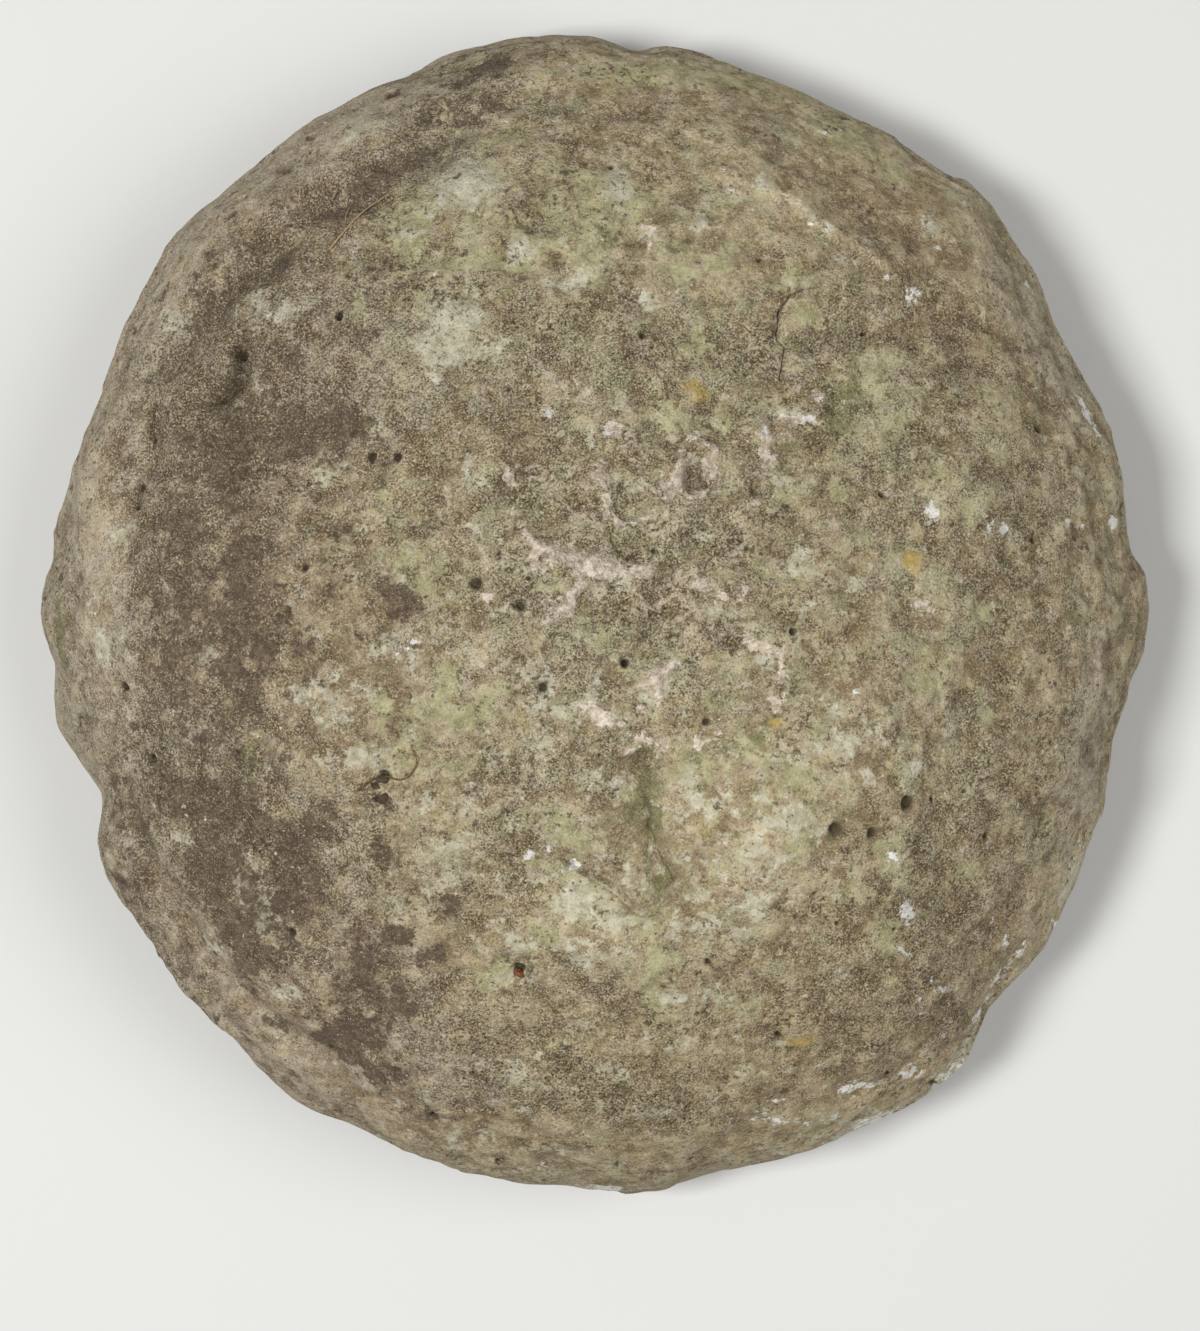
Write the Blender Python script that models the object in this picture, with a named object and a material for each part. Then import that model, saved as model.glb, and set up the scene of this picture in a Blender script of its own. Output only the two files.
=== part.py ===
"""A fossil stromatoporoid: one low limestone dome that lies on its flat cut base.

Metres, with +Z up. The origin is in the middle of the bottom of the dome's box, on the base.
Bearings are in degrees from +X, counter-clockwise seen from above.
"""

import math

import bmesh
import bpy
import numpy as np
from mathutils import Vector, noise
from mathutils.bvhtree import BVHTree

NAME = "stromatoporoid"

# The dome as a whole
WIDTH = 0.287               # along X
LENGTH = 0.300              # along Y
HEIGHT = 0.098
RIM_HEIGHT = 0.021          # the widest line stands this far above the base on average
RIM_TILT = 0.006            # it is higher by this at -X and lower by this at +X
BASE_SHARE = 0.80           # the flat base reaches out to this share of the outline
DOME_POWER = 2.15           # 2 would be an ellipse, more makes the top flatter
SUMMIT = Vector((0.004, -0.006))
RIM_ONLY = 7                # power with which the outline's small corners fade up the dome
SMOOTHING = 22.0            # degrees each way over which the fading evens them out

# Widest outline, as bearing and radius
OUTLINE = (
    (0, 0.144), (4, 0.144), (7, 0.141), (20, 0.143), (30, 0.142), (40, 0.1435),
    (48, 0.1465), (55, 0.144), (62, 0.1465), (74, 0.1455), (83, 0.1495), (86, 0.1475),
    (91, 0.1505), (104, 0.152), (110, 0.1495), (120, 0.1475), (128, 0.1445), (138, 0.146),
    (148, 0.145), (158, 0.140), (166, 0.139), (172, 0.1415), (180, 0.1445), (186, 0.1425),
    (191, 0.144), (200, 0.138), (205, 0.1425), (211, 0.1445), (218, 0.1425), (228, 0.1445),
    (238, 0.1495), (246, 0.148), (258, 0.1485), (266, 0.150), (276, 0.151), (282, 0.1495),
    (292, 0.1515), (300, 0.151), (308, 0.150), (316, 0.1455), (322, 0.146), (330, 0.1445),
    (338, 0.142), (346, 0.139), (352, 0.141), (357, 0.143),
)

# Broad lumps and hollows: x, y, radius, height
SWELLS = (
    (0.039, -0.054, 0.021, 0.0026),
    (0.000, 0.097, 0.011, 0.0014),
    (-0.033, 0.105, 0.008, 0.0012),
    (-0.036, 0.069, 0.009, 0.0008),
    (-0.020, 0.088, 0.009, 0.0008),
    (0.028, 0.093, 0.010, 0.0009),
    (-0.044, 0.008, 0.008, 0.0009),
    (-0.040, -0.024, 0.014, 0.0011),
    (0.002, -0.077, 0.010, 0.0010),
    (0.018, -0.094, 0.009, 0.0009),
    (0.044, -0.004, 0.011, 0.0010),
    (0.067, -0.021, 0.010, 0.0009),
    (0.095, 0.002, 0.011, 0.0010),
    (0.088, 0.032, 0.009, 0.0009),
    (0.056, 0.074, 0.010, 0.0011),
    (-0.110, -0.006, 0.012, 0.0012),
    (-0.088, 0.076, 0.010, 0.0010),
    (-0.089, -0.071, 0.009, 0.0012),
    (-0.072, -0.094, 0.010, 0.0010),
    (-0.009, -0.086, 0.010, 0.0009),
    (-0.076, 0.044, 0.014, -0.0014),
    (-0.087, 0.006, 0.015, -0.0012),
    (-0.098, -0.048, 0.012, -0.0016),
    (-0.074, -0.064, 0.013, -0.0013),
    (-0.062, -0.103, 0.012, -0.0012),
    (-0.062, 0.020, 0.006, -0.0012),
    (-0.036, -0.071, 0.005, -0.0009),
    (0.058, 0.102, 0.009, -0.0014),
    (0.077, 0.096, 0.010, -0.0012),
    (0.061, 0.047, 0.008, -0.0012),
    (0.012, -0.031, 0.008, -0.0010),
    (0.090, -0.040, 0.013, -0.0009),
    (-0.004, 0.026, 0.009, -0.0010),
    (0.014, 0.024, 0.007, -0.0009),
    (0.040, -0.092, 0.012, -0.0009),
)

# Ridges (height above zero) and grooves (below zero): height, half-width, points
ROLLS = (
    (-0.0019, 0.0042, ((-0.013, 0.130), (-0.028, 0.1265), (-0.040, 0.120), (-0.049, 0.112),
                       (-0.060, 0.104), (-0.071, 0.099), (-0.082, 0.089), (-0.092, 0.079),
                       (-0.1015, 0.071), (-0.108, 0.062), (-0.1115, 0.052), (-0.1115, 0.042),
                       (-0.115, 0.030), (-0.1185, 0.020))),
    (0.0012, 0.0060, ((-0.020, 0.137), (-0.046, 0.127), (-0.068, 0.112), (-0.088, 0.096),
                      (-0.106, 0.078), (-0.118, 0.058), (-0.121, 0.042), (-0.126, 0.022))),
    (0.0017, 0.0030, ((0.033, 0.109), (0.041, 0.1025), (0.051, 0.0985), (0.0565, 0.093),
                      (0.0655, 0.0875), (0.073, 0.0825))),
    (0.0010, 0.0030, ((0.067, 0.1055), (0.074, 0.1025), (0.083, 0.099), (0.087, 0.094),
                      (0.0945, 0.086))),
    (-0.0020, 0.0030, ((0.0105, -0.041), (0.0125, -0.053), (0.0145, -0.060), (0.018, -0.066))),
    (-0.0014, 0.0032, ((0.009, -0.038), (0.019, -0.035), (0.028, -0.034), (0.0375, -0.029),
                       (0.044, -0.0225), (0.052, -0.018))),
    (0.0012, 0.0026, ((-0.0165, 0.0115), (-0.0135, 0.0145), (-0.009, 0.0135), (0.0005, 0.0115),
                      (0.010, 0.0095))),
    (0.0010, 0.0024, ((-0.015, -0.0025), (-0.0125, 0.002), (-0.0115, 0.005))),
    (0.0010, 0.0024, ((-0.026, 0.031), (-0.0205, 0.033), (-0.0185, 0.026))),
    (0.0010, 0.0024, ((0.0005, 0.026), (0.0025, 0.021), (0.0035, 0.014))),
    (0.0010, 0.0024, ((-0.0005, 0.042), (0.005, 0.044), (0.0105, 0.0455))),
    (0.0010, 0.0024, ((0.0405, 0.0445), (0.0415, 0.0395), (0.043, 0.0355))),
    (0.0010, 0.0024, ((0.013, -0.0195), (0.017, -0.017), (0.020, -0.014))),
    (-0.0034, 0.0030, ((-0.0895, 0.066), (-0.0905, 0.059), (-0.094, 0.0535), (-0.098, 0.0545))),
    (-0.0022, 0.0034, ((-0.118, -0.052), (-0.113, -0.066), (-0.105, -0.078), (-0.094, -0.092),
                       (-0.080, -0.105), (-0.064, -0.118))),
)

# Steps where a layer has broken away: drop, run, points with the low side on their right
STEPS = (
    (0.0017, 0.010, ((0.018, -0.068), (0.0135, -0.0745), (0.0085, -0.072), (0.005, -0.068),
                     (-0.002, -0.065), (-0.010, -0.061))),
    (0.0012, 0.012, ((0.033, 0.111), (0.042, 0.1045), (0.052, 0.1005), (0.058, 0.095),
                     (0.067, 0.089), (0.075, 0.084))),
)

EDGE_WIDTH = 0.0030         # a step falls away over this width

# The round ring of skeleton with a crater in it: x, y, radius of the ring
CRATER = (0.0235, 0.032, 0.0040)
CRATER_RING = 0.0012

# Round borings: x, y, radius at the mouth, depth
BORINGS = (
    (0.0767, -0.0476, 0.0024, 0.0040),
    (0.0584, -0.0537, 0.0024, 0.0036),
    (0.0675, -0.0547, 0.0017, 0.0026),
    (0.0066, -0.0131, 0.0017, 0.0040),
    (0.0235, 0.0320, 0.0030, 0.0030),
    (-0.0295, 0.0063, 0.0019, 0.0030),
    (-0.0187, 0.0008, 0.0016, 0.0026),
    (-0.0130, -0.0186, 0.0016, 0.0028),
    (-0.0192, -0.0886, 0.0020, 0.0030),
    (-0.0640, 0.0728, 0.0017, 0.0030),
    (0.0263, -0.0273, 0.0015, 0.0024),
    (0.0475, -0.0053, 0.0014, 0.0024),
)
BORING_SIDES = 10
BORING_TAPER = 0.6          # radius at the bottom of a boring, over that at its mouth
PLUG_FLARE = 1.1            # radius at the top of the plug that cuts it, over that at the mouth
PLUG_ABOVE = 0.003          # and how far that plug stands out of the surface

# Layers that end on the flank: reach of the edge, bearings it runs between, drop below it
LAYER_EDGES = (
    (0.905, 192, 262, 0.0022),
    (0.965, 225, 300, 0.0015),
    (0.930, 284, 350, 0.0020),
    (0.900, 352, 396, 0.0015),
    (0.945, 26, 82, 0.0018),
    (0.915, 78, 112, 0.0014),
    (0.955, 120, 176, 0.0017),
)
LAYER_WANDER = 0.018        # how far an edge wanders up and down, as reach
LAYER_RECESS = 0.055        # how far below an edge the surface is set back, as reach
LAYER_LIP = 0.35            # how proud the edge itself is, over the drop

# Undulation of the whole top: height and wavelength
WAVES = ((0.0032, 0.066), (0.0018, 0.027))

# The smooth dome's section, from the summit to the rim
MEAN_RADIUS = (WIDTH + LENGTH) / 4.0
SECTION_LENGTH = 0.180      # along the section, near enough
RELIEF_FADES = (0.94, 1.06) # the relief fades out between these reaches, on its way under the rim

# The net of faces: it starts as a square patch on the top, with rows of faces round it
PATCH = 38                  # faces along one side of the patch
PATCH_SHARE = 1.5           # how far out the patch reaches: its middle edges come to half of this
FLANK_ROWS = 6              # rows from the patch down to the widest line
UNDER_ROWS = 3              # rows from there in to the flat base
FINE_MARGIN = 0.0035        # faces this near to a ridge, a groove or a step are made half as wide
FINE_REACH = 0.99           # but none beyond this reach
FAINT_DROP = 0.0006         # and none where a layer's edge drops less than this


def ease(share):
    """0 up to 0, 1 from 1 on, and smooth between them."""
    share = np.clip(share, 0.0, 1.0)
    return share * share * (3.0 - 2.0 * share)


def outline_radius(bearing):
    """Radius of the widest outline, eased between the listed points."""
    degrees = np.degrees(bearing) % 360.0
    corners = np.array(OUTLINE + ((OUTLINE[0][0] + 360, OUTLINE[0][1]),))
    after = np.clip(np.searchsorted(corners[:, 0], degrees, side="right"), 1, len(OUTLINE))
    start, end = corners[after - 1], corners[after]
    share = ease((degrees - start[:, 0]) / (end[:, 0] - start[:, 0]))
    return start[:, 1] + share * (end[:, 1] - start[:, 1])


def even_radius(bearing):
    """Radius of the outline with its corners evened out."""
    offsets = np.radians(np.linspace(-SMOOTHING, SMOOTHING, 9))
    return sum(outline_radius(bearing + offset) for offset in offsets) / len(offsets)


def section_angle(reach):
    """The section's angle at a reach, so that equal steps of reach are equal lengths of surface."""
    angle = np.linspace(0.0, math.pi / 2.0, 400)
    radius = MEAN_RADIUS * np.sin(angle) ** (2.0 / DOME_POWER)
    height = (HEIGHT - RIM_HEIGHT) * np.cos(angle)
    length = np.concatenate(([0.0], np.cumsum(np.hypot(np.diff(radius), np.diff(height)))))
    return np.interp(reach, length / length[-1], angle)


def dome_points(reach, bearing):
    """Points of the smooth dome. reach is 0 at the summit, 1 at the rim and 2 at the base's edge."""
    top = reach <= 1.0
    angle = section_angle(np.minimum(reach, 1.0))
    turn = np.clip(reach - 1.0, 0.0, 1.0) * math.pi / 2.0
    share = np.where(top, np.sin(angle) ** (2.0 / DOME_POWER),
                     1.0 - (1.0 - BASE_SHARE) * (1.0 - np.cos(turn)))
    rim = RIM_HEIGHT - RIM_TILT * np.cos(bearing)
    height = np.where(top, rim + (HEIGHT - rim) * np.cos(angle), rim * (1.0 - np.sin(turn)))
    edge = np.where(top, share ** RIM_ONLY, 1.0)
    radius = share * (edge * outline_radius(bearing) + (1.0 - edge) * even_radius(bearing))
    lean = np.where(top, 1.0 - share ** 2, 0.0)
    return np.column_stack((radius * np.cos(bearing) + SUMMIT.x * lean,
                            radius * np.sin(bearing) + SUMMIT.y * lean,
                            height))


def dome_normals(reach, bearing):
    """Outward directions of the smooth dome, from small steps along and across its section."""
    step = 0.004
    reach = np.maximum(reach, step)
    along = dome_points(reach + step, bearing) - dome_points(reach - step, bearing)
    across = dome_points(reach, bearing + step) - dome_points(reach, bearing - step)
    normals = np.cross(along, across)
    return normals / np.linalg.norm(normals, axis=1)[:, None]


def line_distance(x, y, points):
    """Distance to a line in plan. It is negative on the line's right-hand side."""
    nearest = np.full(x.shape, np.inf)
    side = np.ones(x.shape)
    for (ax, ay), (bx, by) in zip(points, points[1:]):
        dx, dy = bx - ax, by - ay
        share = np.clip(((x - ax) * dx + (y - ay) * dy) / (dx * dx + dy * dy), 0.0, 1.0)
        distance = np.hypot(x - ax - share * dx, y - ay - share * dy)
        closer = distance < nearest
        nearest = np.where(closer, distance, nearest)
        side = np.where(closer, np.sign(dx * (y - ay) - dy * (x - ax)), side)
    return nearest * side


def layer_edges(reach, bearing):
    """How far below each layer's edge a point is, as reach, with the drop there."""
    degrees = np.degrees(bearing)
    for level, first, last, drop in LAYER_EDGES:
        share = ((degrees - first) % 360.0) / (last - first)
        strength = drop * np.sqrt(np.clip(4.0 * share * (1.0 - share), 0.0, 1.0)) * (share < 1.0)
        wander = LAYER_WANDER * (np.sin(bearing * 7.0 + level * 90.0) + 0.5 * np.sin(bearing * 17.0))
        yield reach - level - wander, strength


def relief(reach, bearing, x, y):
    """How far the surface stands out from the smooth dome."""
    out = np.zeros(len(x))
    for height, length in WAVES:
        out += [height * noise.noise(Vector((a, b, length)) / length) for a, b in zip(x, y)]
    for cx, cy, radius, height in SWELLS:
        out += height * np.exp(-((x - cx) ** 2 + (y - cy) ** 2) / radius ** 2)
    for height, width, points in ROLLS:
        out += height * np.exp(-(line_distance(x, y, points) / width) ** 2)
    for drop, run, points in STEPS:
        distance = -line_distance(x, y, points)
        out -= drop * ease(distance / EDGE_WIDTH) * np.exp(-(distance / run) ** 2)
    for below, drop in layer_edges(reach, bearing):
        lip = LAYER_LIP * np.exp(-(below / (0.5 * LAYER_RECESS)) ** 2)
        set_back = -np.exp(-(below / LAYER_RECESS) ** 2)
        out += drop * (lip + (set_back - lip) * ease(below * SECTION_LENGTH / EDGE_WIDTH))
    cx, cy, ring = CRATER
    out += CRATER_RING * np.exp(-((np.hypot(x - cx, y - cy) - ring) / (0.5 * ring)) ** 2)
    return out


def new_net():
    """The net of faces laid out flat, where a point's distance from the middle is its reach."""
    net = bmesh.new()
    bmesh.ops.create_grid(net, x_segments=PATCH, y_segments=PATCH, size=1.0)
    for vert in net.verts:
        wide = math.tan(vert.co.x * math.pi / 4.0)
        deep = math.tan(vert.co.y * math.pi / 4.0)
        bearing = math.atan2(deep, wide)
        reach = PATCH_SHARE * math.atan(math.hypot(wide, deep)) / (math.pi / 2.0)
        vert.co = Vector((reach * math.cos(bearing), reach * math.sin(bearing), 0.0))
    edge = [e for e in net.edges if e.is_boundary]
    for row in range(FLANK_ROWS + UNDER_ROWS):
        ring = bmesh.ops.extrude_edge_only(net, edges=edge)["geom"]
        edge = [item for item in ring if isinstance(item, bmesh.types.BMEdge)]
        for vert in (item for item in ring if isinstance(item, bmesh.types.BMVert)):
            reach = vert.co.length
            if row < FLANK_ROWS:
                target = reach + (1.0 - reach) / (FLANK_ROWS - row)
            else:
                target = 1.0 + (row - FLANK_ROWS + 1) / UNDER_ROWS
            vert.co *= target / reach
    return net


def net_arrays(net):
    """Reach and bearing of every point of the net."""
    flat = np.array([vert.co[:2] for vert in net.verts])
    return np.hypot(flat[:, 0], flat[:, 1]), np.arctan2(flat[:, 1], flat[:, 0])


def refine(net):
    """Halves the faces near the sharper forms of the top."""
    reach, bearing = net_arrays(net)
    points = dome_points(reach, bearing)
    x, y = points[:, 0], points[:, 1]
    near = np.zeros(len(x), dtype=bool)
    for _, width, line in ROLLS:
        near |= np.abs(line_distance(x, y, line)) < width + FINE_MARGIN
    for _, _, line in STEPS:
        near |= np.abs(line_distance(x, y, line)) < 2.0 * FINE_MARGIN
    for below, drop in layer_edges(reach, bearing):
        near |= (np.abs(below) * SECTION_LENGTH < 2.0 * FINE_MARGIN) & (drop > FAINT_DROP)
    near &= reach < FINE_REACH
    net.verts.index_update()
    chosen = [e for e in net.edges if near[e.verts[0].index] and near[e.verts[1].index]]
    bmesh.ops.subdivide_edges(net, edges=chosen, cuts=1, use_grid_fill=True)


def colony_mesh():
    """The dome with its lumps, ledges, ridges and grooves, closed by the flat base."""
    net = new_net()
    refine(net)
    reach, bearing = net_arrays(net)
    points = dome_points(reach, bearing)
    fade = 1.0 - ease((reach - RELIEF_FADES[0]) / (RELIEF_FADES[1] - RELIEF_FADES[0]))
    out = relief(reach, bearing, points[:, 0], points[:, 1]) * fade
    points += dome_normals(reach, bearing) * out[:, None]
    low, high = points.min(axis=0), points.max(axis=0)
    points -= ((low[0] + high[0]) / 2.0, (low[1] + high[1]) / 2.0, low[2])
    points *= np.array((WIDTH, LENGTH, HEIGHT)) / (high - low)
    for vert, point in zip(net.verts, points):
        vert.co = point
    bmesh.ops.holes_fill(net, edges=[e for e in net.edges if e.is_boundary], sides=0)
    bmesh.ops.recalc_face_normals(net, faces=net.faces)
    bmesh.ops.triangulate(net, faces=net.faces)
    mesh = bpy.data.meshes.new(NAME)
    net.to_mesh(mesh)
    net.free()
    return mesh


def borings_mesh(colony):
    """One tapered plug for each boring, standing in the surface."""
    surface = bmesh.new()
    surface.from_mesh(colony)
    tree = BVHTree.FromBMesh(surface)
    plugs = bmesh.new()
    for x, y, radius, depth in BORINGS:
        hit = tree.ray_cast(Vector((x, y, 1.0)), Vector((0.0, 0.0, -1.0)))[0]
        plug = bmesh.ops.create_cone(plugs, cap_ends=True, segments=BORING_SIDES,
                                     radius1=radius * BORING_TAPER, radius2=radius * PLUG_FLARE,
                                     depth=depth + PLUG_ABOVE)
        middle = hit + Vector((0.0, 0.0, (PLUG_ABOVE - depth) / 2.0))
        bmesh.ops.translate(plugs, verts=plug["verts"], vec=middle)
    mesh = bpy.data.meshes.new("borings")
    plugs.to_mesh(mesh)
    plugs.free()
    surface.free()
    return mesh


def limestone():
    material = bpy.data.materials.new("limestone")
    material.use_nodes = True
    shader = material.node_tree.nodes["Principled BSDF"]
    shader.inputs["Base Color"].default_value = (0.27, 0.23, 0.155, 1.0)
    shader.inputs["Roughness"].default_value = 0.9
    shader.inputs["Metallic"].default_value = 0.0
    return material


def collection(name):
    made = bpy.data.collections.new(name)
    bpy.context.scene.collection.children.link(made)
    return made


for old in list(bpy.data.objects):
    bpy.data.objects.remove(old, do_unlink=True)

parts = collection(NAME)
cutters = collection("cutters")

stone = bpy.data.objects.new(NAME, colony_mesh())
stone.data.materials.append(limestone())
parts.objects.link(stone)

borings = bpy.data.objects.new("borings", borings_mesh(stone.data))
borings.display_type = "WIRE"
borings.hide_render = True
cutters.objects.link(borings)

cut = stone.modifiers.new("borings", "BOOLEAN")
cut.operation = "DIFFERENCE"
cut.solver = "EXACT"
cut.object = borings
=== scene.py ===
"""Looks of the fossil stromatoporoid: its weathered skin with films, mud and marks, and the debris on it.

Metres, with +Z up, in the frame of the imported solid. Places of marks are in millimetres.
Bearings are in degrees from +X, counter-clockwise seen from above.
"""

import math

import bmesh
import bpy
import numpy as np
from mathutils import Matrix, Vector, noise
from mathutils.bvhtree import BVHTree


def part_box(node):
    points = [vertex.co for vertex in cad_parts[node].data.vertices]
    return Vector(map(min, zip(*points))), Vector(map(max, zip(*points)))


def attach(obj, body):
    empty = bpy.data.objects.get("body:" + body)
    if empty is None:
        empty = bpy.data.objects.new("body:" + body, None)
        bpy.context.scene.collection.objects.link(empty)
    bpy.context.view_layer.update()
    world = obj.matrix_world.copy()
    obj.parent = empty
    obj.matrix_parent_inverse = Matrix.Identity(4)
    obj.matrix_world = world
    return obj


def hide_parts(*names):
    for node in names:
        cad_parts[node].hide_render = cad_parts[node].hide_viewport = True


NODE = "stromatoporoid"
MM = 0.001

# ---------------------------------------------------------------- the dome, as in the solid

WIDTH = 0.287
LENGTH = 0.300
HEIGHT = 0.098
RIM_HEIGHT = 0.021
RIM_TILT = 0.006
BASE_SHARE = 0.80
DOME_POWER = 2.15
SUMMIT = Vector((0.004, -0.006))
RIM_ONLY = 7
SMOOTHING = 22.0

# Widest outline, as bearing and radius
OUTLINE = (
    (0, 0.144), (4, 0.144), (7, 0.141), (20, 0.143), (30, 0.142), (40, 0.1435), (48, 0.1465),
    (55, 0.144), (62, 0.1465), (74, 0.1455), (83, 0.1495), (86, 0.1475), (91, 0.1505), (104, 0.152),
    (110, 0.1495), (120, 0.1475), (128, 0.1445), (138, 0.146), (148, 0.145), (158, 0.140), (166, 0.139),
    (172, 0.1415), (180, 0.1445), (186, 0.1425), (191, 0.144), (200, 0.138), (205, 0.1425),
    (211, 0.1445), (218, 0.1425), (228, 0.1445), (238, 0.1495), (246, 0.148), (258, 0.1485),
    (266, 0.150), (276, 0.151), (282, 0.1495), (292, 0.1515), (300, 0.151), (308, 0.150), (316, 0.1455),
    (322, 0.146), (330, 0.1445), (338, 0.142), (346, 0.139), (352, 0.141), (357, 0.143),
)

# Broad lumps and hollows: x, y, radius, height
SWELLS = (
    (0.039, -0.054, 0.020, 0.0023), (0.000, 0.097, 0.011, 0.0014), (-0.033, 0.105, 0.008, 0.0012),
    (-0.036, 0.069, 0.009, 0.0008), (-0.020, 0.088, 0.009, 0.0008), (0.028, 0.093, 0.010, 0.0009),
    (-0.044, 0.008, 0.008, 0.0009), (-0.040, -0.024, 0.014, 0.0011), (0.002, -0.077, 0.010, 0.0010),
    (0.018, -0.094, 0.009, 0.0009), (0.044, -0.004, 0.011, 0.0010), (0.067, -0.021, 0.010, 0.0009),
    (0.095, 0.002, 0.011, 0.0010), (0.088, 0.032, 0.009, 0.0009), (0.056, 0.074, 0.010, 0.0011),
    (-0.110, -0.006, 0.012, 0.0012), (-0.088, 0.076, 0.010, 0.0010), (-0.089, -0.071, 0.009, 0.0012),
    (-0.072, -0.094, 0.010, 0.0010), (-0.009, -0.086, 0.010, 0.0009), (-0.076, 0.044, 0.014, -0.0014),
    (-0.087, 0.006, 0.015, -0.0012), (-0.098, -0.048, 0.012, -0.0016), (-0.074, -0.064, 0.013, -0.0013),
    (-0.062, -0.103, 0.012, -0.0012), (-0.062, 0.020, 0.006, -0.0012), (-0.036, -0.071, 0.005, -0.0009),
    (0.058, 0.102, 0.009, -0.0014), (0.077, 0.096, 0.010, -0.0012), (0.061, 0.047, 0.008, -0.0012),
    (0.012, -0.031, 0.008, -0.0010), (0.090, -0.040, 0.013, -0.0009), (-0.004, 0.026, 0.009, -0.0010),
    (0.014, 0.024, 0.007, -0.0009), (0.040, -0.092, 0.012, -0.0009),
)

# Undulation of the whole top: height and wavelength
WAVES = ((0.0032, 0.066), (0.0018, 0.027))

# Layers that end on the flank: reach of the edge, bearings it runs between, drop below it
LAYER_EDGES = (
    (0.905, 192, 262, 0.0022), (0.965, 225, 300, 0.0015), (0.930, 284, 350, 0.0020),
    (0.900, 352, 396, 0.0015), (0.945, 26, 82, 0.0018), (0.915, 78, 112, 0.0014),
    (0.955, 120, 176, 0.0017),
)
LAYER_WANDER = 0.018
LAYER_RECESS = 0.055
LAYER_LIP = 0.35

MEAN_RADIUS = (WIDTH + LENGTH) / 4.0
SECTION_LENGTH = 0.180
RELIEF_FADES = (0.94, 1.06)

# ---------------------------------------------------------------- finer relief of the skin

# Ridges (height above zero) and grooves (below zero) of the solid: height, half-width, points
ROLLS = (
    (-0.0019, 0.0042, ((-0.013, 0.130), (-0.028, 0.1265), (-0.040, 0.120), (-0.049, 0.112),
     (-0.060, 0.104), (-0.071, 0.099), (-0.082, 0.089), (-0.092, 0.079), (-0.1015, 0.071),
     (-0.108, 0.062), (-0.1115, 0.052), (-0.1115, 0.042), (-0.115, 0.030), (-0.1185, 0.020))),
    (0.0012, 0.0060, ((-0.020, 0.137), (-0.046, 0.127), (-0.068, 0.112), (-0.088, 0.096),
     (-0.106, 0.078), (-0.118, 0.058), (-0.121, 0.042), (-0.126, 0.022))),
    (0.0011, 0.0030, ((0.034, 0.107), (0.042, 0.1035), (0.049, 0.1000), (0.0545, 0.0955),
     (0.0615, 0.0920), (0.072, 0.0850))),
    (0.0010, 0.0030, ((0.067, 0.1055), (0.074, 0.1025), (0.083, 0.099), (0.087, 0.094),
     (0.0945, 0.086))),
    (-0.0022, 0.0026, ((0.0095, -0.038), (0.0105, -0.045), (0.012, -0.053), (0.0145, -0.060),
     (0.019, -0.070), (0.015, -0.075))),
    (-0.0020, 0.0028, ((0.009, -0.038), (0.016, -0.035), (0.028, -0.0335), (0.0375, -0.030),
     (0.044, -0.0225), (0.052, -0.018))),
    (-0.0042, 0.0026, ((-0.0895, 0.066), (-0.0905, 0.059), (-0.094, 0.0545), (-0.098, 0.0545))),
    (-0.0022, 0.0034, ((-0.118, -0.052), (-0.113, -0.066), (-0.105, -0.078), (-0.094, -0.092),
     (-0.080, -0.105), (-0.064, -0.118))),
)

# The bare skeleton's ridges round the summit, in millimetres: height, half-width, points
SKELETON = (
    (0.8, 1.1, ((0.7, 34.3), (1.4, 29.5), (2.1, 25.2), (3.3, 21.8), (6.6, 20.9), (10.2, 21.8),
     (13.8, 23.3))),
    (0.8, 1.1, ((20.8, 38.7), (19.4, 34.4), (17.9, 30.5), (15.0, 28.1))),
    (1.0, 1.1, ((20.5, 28.6), (23.7, 27.6), (26.8, 29.1), (27.5, 32.5), (26.1, 35.4), (28.5, 38.3),
     (25.6, 40.7), (24.2, 42.6))),
    (0.8, 1.0, ((-21.4, 24.7), (-18.8, 21.4), (-16.6, 18.5), (-14.2, 16.1))),
    (1.0, 1.5, ((-15.0, 15.5), (-7.5, 11.8), (-4.1, 13.2), (0.7, 12.7), (5.9, 11.3), (10.2, 9.8))),
    (0.9, 1.2, ((-2.7, 6.5), (-5.6, 3.6), (-7.5, 0.7), (-11.8, -3.1), (-13.7, 0.3))),
    (0.7, 0.9, ((1.1, 31.9), (-1.7, 33.4))),
    (0.9, 1.0, ((41.0, 45.5), (41.0, 41.0), (42.0, 37.0))),
    (0.7, 1.1, ((-3.0, -22.5), (2.0, -25.0), (6.0, -27.5))),
    (0.8, 1.2, ((11.0, -18.0), (16.0, -15.5), (19.0, -13.0))),
    (0.6, 0.9, ((6.0, -35.0), (10.0, -33.5), (14.0, -33.5))),
    (0.6, 0.9, ((30.0, -27.0), (28.5, -32.0), (24.0, -33.5))),
    (0.6, 0.9, ((12.0, 94.0), (12.5, 90.0), (12.0, 86.0))),
    (0.6, 0.8, ((9.5, 95.5), (14.0, 95.0))),
)
RIDGE_GAIN = 1.2

# Steps where a layer has broken away: drop, run, points with the low side on their right
STEPS = (
    (0.0028, 0.009, ((0.018, -0.068), (0.0135, -0.0745), (0.0085, -0.072), (0.005, -0.068),
     (-0.002, -0.065), (-0.010, -0.061))),
    (0.0020, 0.008, ((0.0115, -0.036), (0.0120, -0.045), (0.0135, -0.055), (0.0165, -0.066))),
    (0.0010, 0.010, ((0.030, 0.108), (0.038, 0.104), (0.046, 0.1025), (0.052, 0.098), (0.057, 0.0925),
     (0.064, 0.0905), (0.073, 0.0835), (0.081, 0.077))),
)
EDGE_WIDTH = 0.0012

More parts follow.
